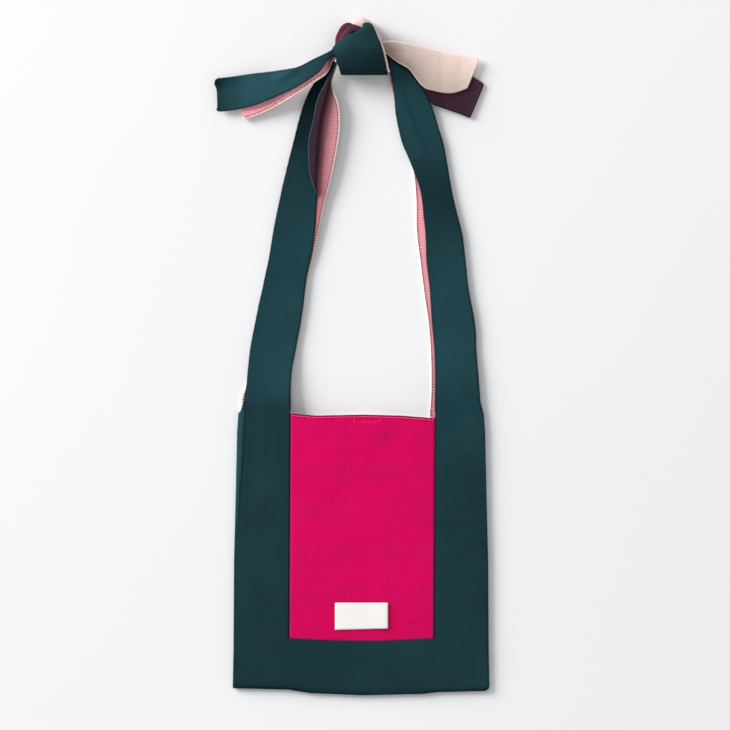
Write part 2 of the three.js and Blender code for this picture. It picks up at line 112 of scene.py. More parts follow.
# The camera and the lamp, in metres and degrees
LENS, SENSOR, PICTURE_WIDTH = 300, 36, 0.730
CAMERA_X, CAMERA_Y, POUCH_MIDDLE_Z = 0.0035, 0.18525, 0.006
LAMP_AIM, LAMP_AWAY, LAMP_TURN, LAMP_RISE = (0, 0.15, 0), 8.5, 148, 22
LAMP_SIZE, LAMP_POWER = 4.7, 1000

# Straps: Y, left edge, right edge, and lift of the right edge where there is any
LEFT_BACK_STRAP = [
    (138.25, -121.4, -74.5, 0), (150, -121, -74, 0), (157, -119.8, -73.5, 0), (165, -115.6, -73, 0),
    (200, -109.5, -68, 0), (230, -105.5, -63, 0), (260, -98.5, -56, 0.5), (275, -95.5, -52.8, 1),
    (290, -92, -48.3, 1.5), (320, -85.5, -41.5, 2.5), (350, -77.5, -35.5, 3.5), (366, -72.5, -31.1, 4.5),
    (390, -65, -26, 5.5), (410, -58, -22.5, 6), (430, -51, -20.9, 6), (450, -45.5, -23.6, 5),
    (460, -43, -27.7, 4), (465.2, -41.5, -29.3, 3), (470.2, -40, -29, 2), (478.2, -36, -26.2, 1),
    (488, -32, -23, 0),
]
RIGHT_BACK_STRAP = [
    (131, 67.8, 116), (138.25, 67.8, 116), (145, 68.4, 116), (152, 68.9, 116), (180, 69.2, 114.5),
    (210, 68, 112), (230, 66.3, 109.5), (250, 63.2, 106.5), (290, 58.2, 101.5), (320, 54.6, 97),
    (350, 54.2, 91.5), (375, 52.2, 84.5), (400, 47, 79), (420, 39.5, 73), (440, 34.4, 66), (448, 32.6, 62),
    (456.6, 31.4, 57), (465.6, 29.2, 52), (475.8, 26.8, 45), (488, 24.6, 36), (498, 22.6, 29),
]
RIGHT_FRONT_STRAP = [
    (138.25, 73, 121.8), (141, 73, 121.2), (145.5, 73.1, 119.4), (152, 73.2, 118.8), (180.2, 73.4, 116.6),
    (200, 72.8, 115), (220, 71.1, 114.3), (230, 70.2, 113.1), (260, 68.3, 107.4), (290, 64.9, 104.1),
    (320, 63.7, 100.1), (331, 62.4, 97.2), (358, 59.3, 90.8), (390, 48, 85.2), (409.6, 39.9, 81.4),
    (420, 37.4, 77.9), (439.3, 33.7, 72.1), (454.5, 32.8, 65.8), (462.4, 31.6, 60.9), (472.2, 30.1, 53.8),
    (483.4, 27.4, 44.5), (490.6, 26, 36), (499, 23, 29),
]
# The left front strap also folds over on its right side: the last number is how
# much of its width, from the fold's start, turns up and back over the strap
LEFT_FRONT_STRAP = [
    (138.25, -121.6, -70.6, 2.2), (141, -121, -70.4, 2.2), (145.5, -118.3, -70.2, 2.2),
    (152, -117.1, -70.2, 2.2), (165.2, -115.2, -70.2, 2.2), (180.2, -113.8, -69.1, 2.2),
    (200.2, -111.6, -65.3, 2.2), (230.2, -106, -59.9, 2.2), (250.2, -101.9, -57, 2.2),
    (260.2, -99.5, -55.9, 2.2), (275.2, -96.4, -53.9, 2.2), (290.2, -93.1, -50.7, 2.2),
    (320.2, -88.1, -45.8, 2.2), (345, -83.2, -44.4, 2.4), (355, -81, -44.6, 4.6), (363, -79.4, -45.3, 7.6),
    (370.2, -77.6, -45.4, 10.2), (390.2, -72.8, -44.8, 13.4), (410.2, -67.7, -43.2, 14.8),
    (430.2, -62.7, -40.7, 12.6), (450.2, -56.3, -35.9, 13.4), (460.6, -51.5, -33.8, 11),
    (470, -45.6, -31.6, 8), (480, -39, -29.4, 5.5), (489, -34, -27, 4),
]
FOLD_RADIUS = 2.2
ROW_STEP = 0.525  # a quarter of a rib, from one row of a strap's points to the next
ROWS_SOFTENED = 6
LEFT_STRAP_LENGTH = 338
RIGHT_STRAP_LENGTH = 347.7
STRAP_BODIES = ("pouch", "handle")
STRAP_BLEND = {"start": (0, 0.1384, 0), "end": (0, 0.156, 0)}

# Tails: X and Y of the edge on the ribbon's left, then of the one on its right,
# seen from the knot outwards, and the lift of each edge where there is any
LEFT_TAIL_UPPER = [
    (-23, 495.5, -23.5, 502.5, 0, 0), (-27.8, 494.85, -29.3, 499.95, 0, 0),
    (-35.4, 488.25, -34.9, 496.95, 0.2, 0), (-39.1, 481.05, -41.5, 493.85, 0.3, 0),
    (-46, 475, -49.3, 490.25, 0.4, 0.4), (-59.5, 465.75, -64.5, 482.55, 0.5, 0.8),
    (-70, 460, -78, 480.3, 0.4, 1), (-79.9, 455.55, -90.1, 478.55, 0.2, 1.2),
    (-94, 449.5, -105, 477, 0, 1.4), (-112, 443.3, -120.7, 474.95, 0, 1.4),
    (-128, 440, -133, 473.2, 0.3, 1), (-144.1, 438.2, -145.2, 472, 0.8, 1.2),
]
LEFT_TAIL_LOWER = [
    (-23, 492, -23, 499, 0, 0), (-27, 491.5, -27, 498, 0, 0), (-31.3, 482.15, -33, 494.5, 0, 0),
    (-34.9, 475.45, -39, 491, 0.5, 0), (-41.5, 470.95, -48, 485.5, 1, 0), (-59.5, 458.65, -68, 477, 1.4, 0),
    (-79.9, 446.35, -90, 473, 1.6, 0), (-104.4, 434.65, -114, 468, 1.6, 0),
    (-117.4, 430.3, -129, 465, 1.4, 0),
]
RIGHT_TAIL_UPPER = [
    (16, 507, 18, 498.4, 0, 0), (20.7, 508.15, 23.5, 497, 0, 0), (29.9, 509.15, 34.1, 488.35, 0.5, 0.5),
    (38.5, 508.15, 46.2, 481.65, 0.5, 1), (49.8, 505.55, 52.5, 474, 0.5, 1.4),
    (63, 502.6, 61.7, 462.75, 0.5, 1.6), (76.9, 499.55, 71.5, 459.45, 0.8, 1.4),
    (93, 496.6, 85.6, 456.95, 1, 1.2), (109.4, 493.65, 96.4, 458.35, 1, 1),
    (118.1, 492.05, 106, 461.75, 1, 1),
]
RIGHT_TAIL_LOWER = [
    (14, 503.5, 17, 497), (22, 503, 26, 491.5), (31, 501.5, 36, 485.5), (42, 498, 47.5, 478.5),
    (53, 494.5, 55, 468.5), (66, 490, 62.5, 458.5), (80, 485.5, 69.6, 446.9), (96, 480, 85, 441),
    (111, 474, 101.9, 435.05), (123, 466.5, 108.6, 431.85),
]
LEFT_FALL_ROWS = [(0, 1), (0.1, 0.97), (0.28, 0.82), (0.5, 0.64), (0.8, 0.16), (1, 0)]
RIGHT_FALL_ROWS = [(0, 1), (0.1, 0.95), (0.25, 0.78), (0.42, 0.5), (0.6, 0.24), (0.8, 0.08), (1, 0)]
TAIL_BLEND = (0.0299, 0.052)  # where each tail's span starts and ends, in metres
TAIL_DROP = 12.8
TAIL_LOWER_LEVEL = 1.5
TAIL_UPPER_LEVEL = 3.8

# The knot's wrap, from under the knot, round its lower edge and up over its
# face to the pinch at the top: Y, Z, left edge, right edge, drop of each edge
KNOT_WRAP = [
    (494, 3.6, -18, 20, 0, 0), (484, 3, -19, 23, 0, 0), (478.2, 6, -19.8, 25, 0, 0),
    (476, 12, -20.4, 25.8, 0, 0), (476.3, 19, -20.8, 25.9, 0, 0), (479, 24, -21.8, 25.2, 0.5, 0.3),
    (486, 27.2, -24.4, 24, 2, 0.8), (494, 28.6, -27, 22.2, 3.4, 1.2), (499.5, 29, -28.8, 20.9, 4.4, 1.6),
    (504.4, 29, -26.6, 19.4, 4.4, 2), (509.5, 28.8, -20, 17.4, 3.8, 2.4), (514.5, 28.4, -11.6, 15.4, 3, 2.8),
    (518.2, 27.6, -3.6, 13.8, 2.2, 3), (521, 26.6, 0.6, 12.6, 1.6, 3), (524.4, 24, 1, 10.4, 1, 2.4),
    (526, 19.5, 2.8, 8, 0.5, 1.4), (525.6, 13, 2, 8, 0, 0), (521.5, 8, 2, 8, 0, 0),
]
LINING_TUCK = -1.5
LINING_SHOW = 2.2
LINING_UNDER = 2.3
# Loops behind the wrap: X and Y of the outer side from one end to the other, and a
# section, as outward distance and Z
TOP_LOOP = [
    (-13, 520), (-11, 526.4), (-8.8, 528.6), (-4, 530.4), (0.3, 531.2), (6.5, 529.2), (10.5, 525.4),
    (14.6, 521.5), (18.7, 516.4), (20.5, 509.7), (21, 503),
]
LEFT_LOOP = [
    (-25.6, 500), (-25.2, 508.15), (-24.7, 512.75), (-22.6, 517.85), (-19.6, 522.95), (-15, 526.25),
    (-11.4, 526.25), (-6, 523.6), (0, 519.5),
]
PLUM_LOOP = [
    (-23, 500), (-22.8, 508), (-21.8, 512.4), (-19.2, 517), (-16, 521.2), (-12.6, 524.4), (-8.6, 524.8),
    (-4, 523.4), (1.4, 521.4),
]
LOOP_CENTRE = (-1, 505)
TOP_LOOP_SECTION = [(0, 3), (-0.3, 9), (-1.6, 13), (-4.4, 15), (-10, 15)]
LEFT_LOOP_SECTION = [(0.2, 5), (-0.2, 11), (-1.2, 15.2), (-3.4, 17.4), (-7, 17)]
PLUM_LOOP_SECTION = [(0, 11), (-0.3, 15.6), (-1.8, 19.2), (-5.5, 21.2), (-12, 19.6)]
# Strands inside the knot: Y, left edge and right edge
KNOT_BAND = [(488, -34, 36), (493, -31, 33), (500, -30, 29), (508, -24, 24), (514, -20, 18), (518, -12, 12)]


def srgb(code):
    """The linear colour of an sRGB hex code, with full alpha."""
    values = [int(code[i : i + 2], 16) / 255 for i in (1, 3, 5)]
    linear = [v / 12.92 if v <= 0.04045 else ((v + 0.055) / 1.055) ** 2.4 for v in values]
    return (*linear, 1.0)


COLOUR = {"size": 4, "subtype": "COLOR", "min": 0, "max": 1}
LENGTH = {"subtype": "DISTANCE", "unit": "LENGTH"}


class KnitColours(bpy.types.PropertyGroup):
    """Yarn colours of the bag's two knitted pieces and of what is sewn on, and a painted shade of the pink.
    """

    teal: bpy.props.FloatVectorProperty(
        name="Teal", description="Outer face of the front piece", default=srgb("#19363c"), **COLOUR)
    plum: bpy.props.FloatVectorProperty(
        name="Plum", description="Inner face of the front piece", default=srgb("#3b2531"), **COLOUR)
    magenta: bpy.props.FloatVectorProperty(
        name="Magenta", description="Panel inlaid in the front", default=srgb("#dd065d"), **COLOUR)
    pink: bpy.props.FloatVectorProperty(
        name="Pink", description="Inner face of the back piece", default=srgb("#f3a2ab"), **COLOUR)
    beige: bpy.props.FloatVectorProperty(
        name="Beige", description="Outer face of the back piece", default=srgb("#ecd5c9"), **COLOUR)
    cream: bpy.props.FloatVectorProperty(
        name="Cream", description="Selvedge of the back piece", default=srgb("#f5e3db"), **COLOUR)
    # painted shade: the pink yarn as it looks deep in shadow, not a yarn of its own
    maroon: bpy.props.FloatVectorProperty(
        name="Maroon", description="Pink yarn deep in a fold", default=srgb("#56202d"), **COLOUR)
    label: bpy.props.FloatVectorProperty(
        name="Label", description="Woven label and inside tag", default=srgb("#fdfaf3"), **COLOUR)


class KnitSizes(bpy.types.PropertyGroup):
    """Sizes of the knit and of the sewing."""

    thickness: bpy.props.FloatProperty(
        name="Knit thickness", description="Thickness of one knitted layer", default=0.002,
        min=0.0005, max=0.004, **LENGTH)
    rib_pitch: bpy.props.FloatProperty(
        name="Rib pitch", description="Distance from one rib of the knit to the next", default=0.0021,
        min=0.001, max=0.006, **LENGTH)
    rib_height: bpy.props.FloatProperty(
        name="Rib height", description="How far a rib stands off a strap", default=0.00008,
        min=0, max=0.0005, **LENGTH)
    scallop: bpy.props.FloatProperty(
        name="Selvedge scallop", description="How far each rib's end stands off a selvedge",
        default=0.0004, min=0, max=0.001, **LENGTH)
    label_width: bpy.props.FloatProperty(
        name="Label width", description="Width of the label on the front", default=0.053,
        min=0.02, max=0.1, **LENGTH)
    label_height: bpy.props.FloatProperty(
        name="Label height", description="Height of the label on the front", default=0.0265,
        min=0.01, max=0.05, **LENGTH)


# Shapes of the cloth


def read(rows, at):
    """The value of a table of pairs at a place, straight between its rows."""
    places, values = zip(*rows)
    return np.interp(at, places, values)


def filled(rows, count):
    """Rows of a table with zeros added up to a count of numbers in each."""
    return [(*row, *[0] * (count - len(row))) for row in rows]


def reach_along(points):
    """The distance from the first point of a line to each of them."""
    return np.concatenate([[0], np.cumsum(np.linalg.norm(np.diff(points, axis=0), axis=1))])


def softened(values, reach):
    """Rows of numbers, each the weighted mean of those around it, with the two ends kept."""
    steps = np.arange(-2 * reach, 2 * reach + 1)
    weights = np.exp(-0.5 * (steps / reach) ** 2)
    weights /= weights.sum()
    before = 2 * values[0] - values[1 : 2 * reach + 1][::-1]
    after = 2 * values[-1] - values[-2 * reach - 1 : -1][::-1]
    padded = np.concatenate([before, values, after])
    return np.stack([np.convolve(column, weights, mode="valid") for column in padded.T], axis=1)


def smooth(rows, count):
    """Rows of numbers on a smooth curve through the rows of a table, evenly spaced along it."""
    table = np.array(rows, float)
    knots = reach_along(table[:, :2])
    knots /= knots[-1]
    slopes = np.gradient(table, knots, axis=0)
    at = np.linspace(0, 1, count)
    low = np.clip(np.searchsorted(knots, at, side="right") - 1, 0, len(knots) - 2)
    span = (knots[low + 1] - knots[low])[:, None]
    share = ((at - knots[low])[:, None]) / span
    before, after = table[low], table[low + 1]
    return (
        (2 * share**3 - 3 * share**2 + 1) * before
        + (share**3 - 2 * share**2 + share) * span * slopes[low]
        + (3 * share**2 - 2 * share**3) * after
        + (share**3 - share**2) * span * slopes[low + 1]
    )


def eased(value, low, high):
    """0 below low, 1 above high, and a smooth step between them."""
    share = np.clip((value - low) / (high - low), 0, 1)
    return share * share * (3 - 2 * share)


def bump(distance, width):
    """1 at no distance, falling to 0 about two widths away."""
    return np.exp(-((distance / width) ** 2))


def edge_shares(count):
    """Shares from 0 to 1, closer together towards both ends."""
    even = np.linspace(0, 1, count + 1)
    return 0.25 * even + 0.75 * (1 - np.cos(np.pi * even)) / 2


def side_at(y):
    return POUCH_HALF * read(SIDE_ROWS, (y - BOTTOM_Y) / POUCH_HEIGHT)


def panel_side(shares, y):
    """The side of a panel, a little inside the fold, for shares of the width from -1 to 1."""
    return side_at(y) - SIDE_INSET + np.where(shares < 0, LEFT_OUT, 0)


def bottom_at(x):
    return BOTTOM_Y - BOTTOM_SAG * read(BOTTOM_ROWS, x / POUCH_HALF)


def mouth_at(x):
    return RIM_Y - MOUTH_DIP * read(MOUTH_ROWS, x / MOUTH_HALF)


def foot_at(x):
    """The sagging foot of the inlaid panel."""
    return INSET_FOOT_Y - INSET_FOOT_SAG * (1 - np.clip(x / MOUTH_HALF, -1, 1) ** 2)


def slanted(y):
    """The inlaid panel leans a little: its sides are further right at the rim than at its foot."""
    return INSET_LEAN * (y - INSET_FOOT_Y) / (RIM_Y - INSET_FOOT_Y)


def swell_at(x, y):
    """How far the front stands off the back: full at the mouth, rolling down to the bottom seam."""
    across = np.minimum(1, np.abs(x) / side_at(y))
    height = (y - BOTTOM_Y) / POUCH_HEIGHT
    roll = 1 - np.exp(-np.maximum(0, height + 0.02) * 16)
    up = 0.45 * roll + 0.55 * eased(height, 0, SWELL_FULL_SHARE)
    return SWELL * (1 - across**4) * up


def ripple(x, y, size, seed):
    """A smooth random height from -1 to 1 for each point, with waves about size millimetres long."""
    flat_x, flat_y = np.broadcast_arrays(np.asarray(x, float), np.asarray(y, float))
    out = np.empty(flat_x.shape)
    for index in np.ndindex(flat_x.shape):
        out[index] = noise.noise(Vector((flat_x[index] / size, flat_y[index] / size, seed)))
    return out


def crease(x, y, start, end, width):
    """1 along a line between two points, falling to 0 about two widths away."""
    line = np.subtract(end, start)
    share = np.clip(((x - start[0]) * line[0] + (y - start[1]) * line[1]) / line.dot(line), 0, 1)
    away = np.hypot(x - start[0] - share * line[0], y - start[1] - share * line[1])
    return bump(away, width) * np.sin(np.pi * np.clip(0.15 + 0.7 * share, 0, 1))


def fold_distance(x, y):
    """Millimetres from the crease beside the left side's fold, which narrows downwards."""
    return x + side_at(y) - 2.5 - 3.4 * eased(y, 20, 110)


def body_painted_light(x, y):
    """Painted light and shade on the pouch's yarn: lighter to the right and towards the mouth, painted shade
    at the foot and in the crease beside the left fold, and a painted highlight on the strip outside that
    crease.
    """
    foot = eased(y - bottom_at(x), 0, 9)
    away, fade = fold_distance(x, y), eased(y, -10, 60)
    fold = 0.5 * bump(away, 1.3) + 0.16 * bump(away - 5, 5) - 0.85 * eased(-away, 0.8, 1.6)
    corner = 0.42 * eased(x, 60, 110) * eased(y, 60, 130)
    return (1.16 + 0.15 * x / POUCH_HALF + corner) * (0.7 + 0.3 * foot) * (1 - fold * fade)


def side_groove(x, y):
    """The crease where the front turns into the fold along its left side, deepest at the shoulder."""
    return 0.6 * bump(fold_distance(x, y), 1.3) * eased(y, -10, 60)


def front_height(x, y):
    """The middle of the front layer: its swell, and the soft dents that handling leaves."""
    dents = sum(height * ripple(x, y, size, seed) for height, size, seed in FRONT_WAVES)
    for height, start, end, width in FRONT_CREASES:
        dents = dents + height * crease(x, y, start, end, width)
    fade = 1 - (np.minimum(1, np.abs(x) / side_at(y))) ** 6
    return FRONT_LEVEL + swell_at(x, y) + dents * fade * eased(y, BOTTOM_Y, BOTTOM_Y + 40)


# Meshes


def object_from(bm, name, finishes):
    """A new object at the origin that holds the mesh, with its finishes and its sharp edges."""
    for edge in bm.edges:
        if edge.calc_face_angle(0) > SHARP_ANGLE:
            edge.smooth = False
    mesh = bpy.data.meshes.new(name)
    bm.to_mesh(mesh)
    bm.free()
    for kind in finishes:
        mesh.materials.append(finish_of(kind))
    mesh.polygons.foreach_set("use_smooth", [True] * len(mesh.polygons))
    made = bpy.data.objects.new(name, mesh)
    bpy.context.scene.collection.objects.link(made)
    return made


def knit_grid(rows, columns):
    """A grid with the knit's UV and a layer of painted light and shade, and the row and column of each point.
    """
    bm = bmesh.new()
    uv, tone = bm.loops.layers.uv.new("knit"), bm.verts.layers.float.new("tone")
    bmesh.ops.create_grid(bm, x_segments=columns, y_segments=rows, size=1)
    cells = {v: (round((v.co.y + 1) / 2 * rows), round((v.co.x + 1) / 2 * columns)) for v in bm.verts}
    return bm, uv, tone, cells


def closed(bm, name, finishes):
    """The object of a rolled-up grid, with its doubled points joined and its ends closed."""
    bmesh.ops.remove_doubles(bm, verts=bm.verts[:], dist=1e-7)
    bmesh.ops.holes_fill(bm, edges=[e for e in bm.edges if e.is_boundary], sides=0)
    bmesh.ops.recalc_face_normals(bm, faces=bm.faces[:])
    return object_from(bm, name, finishes)


def unit(vectors):
    """Vectors of a grid, each with a length of 1."""
    return vectors / np.maximum(np.linalg.norm(vectors, axis=2, keepdims=True), 1e-9)


def normals_of(points):
    """The unit normals of a grid of points, left to right across and root to end along."""
    return unit(np.cross(np.gradient(points, axis=1), np.gradient(points, axis=0)))


def lengths_of(points):
    """Millimetres across from the left edge, and along from the root, at each point of a grid."""
    across = np.linalg.norm(np.diff(points, axis=1), axis=2)
    across = np.concatenate([np.zeros((len(points), 1)), np.cumsum(across, axis=1)], axis=1)
    along = reach_along(points[:, points.shape[1] // 2])
    return across, np.repeat(along[:, None], points.shape[1], axis=1)


def from_far_edges(points):
    """Millimetres from the right edge, and from the free end, at each point of a grid."""
    across, along = lengths_of(points)
    return across[:, -1:] - across, along[-1:] - along


def rounded(distance, radius):
    """The share of full thickness at a distance from a rounded edge."""
    inside = np.clip(distance / radius, 0, 1)
    return np.sqrt(np.maximum(0, 1 - (1 - inside) ** 2))


def ribbon(name, points, finishes, thickness=None, rib=1.0, flat_root=False, edges=ROLLED,
           tones=1.0, origin=(0, 0), edge_light=0.0):
    """A closed band of knit round a grid of its middle points: upper face, lower face and rolled selvedges.

    finishes are those of the upper face, the lower face and the selvedges, edges how wide the left
    and the right selvedge are, tones the painted light and shade at each point, origin
    where the knit's pattern starts, and edge_light how much of the painted shade the selvedges lose."""
    sizes = bpy.context.scene.knit_sizes
    half = (thickness or sizes.thickness / MM) / 2
    pitch, height, scallop = sizes.rib_pitch / MM, sizes.rib_height / MM * rib, sizes.scallop / MM * rib
    normal = normals_of(points)
    across, along = lengths_of(points)
    from_right, from_end = from_far_edges(points)
    from_edge = np.minimum(across, from_right)
    wave = np.cos(2 * np.pi * along / pitch)
    outward = np.where(across < across[:, -1:] / 2, -1, 1)[..., None]
    scallop = scallop * eased(along, 1, 6) * eased(from_end, 1, 6)
    sideways = unit(np.gradient(points, axis=1)) * outward
    points = points + sideways * (scallop * wave * np.exp(-from_edge / 0.8))[..., None]
    shown = half * rounded(from_edge, 1.0)
    if not flat_root:
        shown = shown * rounded(along, 1.1)
    shown = shown * rounded(from_end, 1.1)
    shown = shown + height * wave * (shown / half) * (1 - np.exp(-from_edge / 1.5))
    faces = (points + normal * shown[..., None], points - normal * shown[..., None])
    tones = np.broadcast_to(tones, across.shape)
    tones = tones + (1 - tones) * edge_light * np.exp(-((from_edge / 1.3) ** 4))
    in_selvedge = (across < edges[0] - 1e-6) | (from_right < edges[1] - 1e-6)
    columns = points.shape[1] - 1
    bm, uv, tone, cells = knit_grid(len(points) - 1, 2 * columns)
    near = {v: (row, min(column, 2 * columns - column)) for v, (row, column) in cells.items()}
    for vert, (row, column) in cells.items():
        vert.co = Vector(faces[column > columns][near[vert]]) * MM
        vert[tone] = tones[near[vert]]
    for face in bm.faces:
        for loop in face.loops:
            at = near[loop.vert]
            loop[uv].uv = ((origin[0] + across[at]) * MM, (origin[1] + along[at]) * MM)
        below = sum(cells[v][1] for v in face.verts) >= 4 * columns
        face.material_index = 2 if any(in_selvedge[near[v]] for v in face.verts) else int(below)
    return closed(bm, name, finishes)


def panel(name, xs, ys, zs, finishes, keep=True, lined=False, tones=1.0):
    """A flat-lying panel under a grid of points, with a knit layer's thickness and square edges.

    keep says which cells belong to it, lined which of them show the last finish, and tones the
    painted light and shade at each point."""
    half = bpy.context.scene.knit_sizes.thickness / MM / 2
    rows, columns = xs.shape[0] - 1, xs.shape[1] - 1
    keep, lined = np.broadcast_to(keep, (rows, columns)), np.broadcast_to(lined, (rows, columns))
    zs, tones = np.broadcast_to(zs + half, xs.shape), np.broadcast_to(tones, xs.shape)
    bm, uv, tone, cells = knit_grid(rows, columns)
    for vert, at in cells.items():
        vert.co = Vector((xs[at], ys[at], zs[at])) * MM
        vert[tone] = tones[at]
    gone = []
    for face in bm.faces:
        at = tuple(min(cells[v][axis] for v in face.verts) for axis in (0, 1))
        if not keep[at]:
            gone.append(face)
        if lined[at]:
            face.material_index = 3
    bmesh.ops.delete(bm, geom=gone, context="FACES")
    bmesh.ops.recalc_face_normals(bm, faces=bm.faces[:])
    if sum(f.normal.z for f in bm.faces) < 0:
        bmesh.ops.reverse_faces(bm, faces=bm.faces[:])
    bmesh.ops.solidify(bm, geom=bm.faces[:], thickness=2 * half * MM)
    bmesh.ops.recalc_face_normals(bm, faces=bm.faces[:])
    for face in bm.faces:
        if face.normal.z <= 0.3:
            face.material_index = 1 if face.normal.z < -0.3 else 2
        for loop in face.loops:
            loop[uv].uv = loop.vert.co.xy
    return object_from(bm, name, finishes)


def roll(name, rings, finishes, tones=1.0):
    """A closed roll through rings of points, each ring's last point on its first."""
    rings = np.array(rings)
    tones = np.broadcast_to(tones, len(rings))
    along, girth = reach_along(rings[:, :-1].mean(axis=1)), reach_along(rings[0])
    bm, uv, tone, cells = knit_grid(rings.shape[0] - 1, rings.shape[1] - 1)
    for vert, at in cells.items():
        vert.co = Vector(rings[at]) * MM
        vert[tone] = tones[at[0]]
    for face in bm.faces:
        for loop in face.loops:
            row, column = cells[loop.vert]
            loop[uv].uv = (girth[column] * MM, along[row] * MM)
    return closed(bm, name, finishes)


def beads(name, places, radius, stretch, finish):
    """Short stitches, one at each place: a point, the way the thread runs and the cloth's normal."""
    bm = bmesh.new()
    size = Matrix.Diagonal((stretch * radius * MM, radius * MM, 0.7 * radius * MM, 1))
    for point, way, up in places:
        way, up = Vector(way).normalized(), Vector(up).normalized()
        turn = Matrix((way, way.cross(up).normalized(), up)).transposed().to_4x4()
        at = Matrix.Translation(Vector(point) * MM)
        bmesh.ops.create_icosphere(bm, subdivisions=1, radius=1, matrix=at @ turn @ size)
    return object_from(bm, name, [finish])


def edge_places(points, side, inset, lift, start=4.0, stop=4.0):
    """Places of dots along one side of a ribbon, an inset from its edge, on its upper face."""
    normal = normals_of(points)
    across, along = lengths_of(points)
    places = []
    for step in range(int((along[-1, 0] - start - stop) / DOT_PITCH) + 1):
        row = int(np.clip(np.searchsorted(along[:, 0], start + step * DOT_PITCH), 1, len(along) - 2))
        target = inset if side < 0 else across[row, -1] - inset
        column = int(np.clip(np.searchsorted(across[row], target), 1, points.shape[1] - 1))
        low, high = across[row, column - 1], across[row, column]
        share = (target - low) / max(high - low, 1e-6)
        point = points[row, column - 1] * (1 - share) + points[row, column] * share
        up = normal[row, column]
        places.append((point + up * lift, points[row + 1, column] - points[row - 1, column], up))
    return places


# Materials


def socket(sockets, key):
    """A node's socket by its number, its identifier or its name."""
    if isinstance(key, int):
        return sockets[key]
    return next((s for s in sockets if s.identifier == key), sockets.get(key))


def add(tree, name, kind, settings=None, links=None):
    """Adds a named node to a tree, with its settings, its sockets' values and its links.

    A link is written as the name of the node that it comes from, a dot and that node's output."""
    node = tree.nodes.new("ShaderNode" + kind)
    node.name = name
    for key, value in (settings or {}).items():
        if socket(node.inputs, key):
            socket(node.inputs, key).default_value = value
        else:
            setattr(node, key, value)
    for key, source in (links or {}).items():
        origin, output = source.split(".")
        tree.links.new(socket(tree.nodes[origin].outputs, output), socket(node.inputs, key))


def grow(owner, rows):
    """Gives a material or a world the nodes of these rows, and no others."""
    owner.use_nodes = True
    owner.node_tree.nodes.clear()
    for row in rows:
        add(owner.node_tree, *row)


def finish(name, rows):
    """A new material of these nodes, whose shader is the one named so."""
    surface = ("surface", "OutputMaterial", {}, {"Surface": "shader.BSDF"})
    grow(bpy.data.materials.new(name), [*rows, surface])


def scaled(colour, factor):
    """A colour made lighter or darker by a factor, with full alpha."""
    return (*[min(1, c * factor) for c in colour[:3]], 1.0)


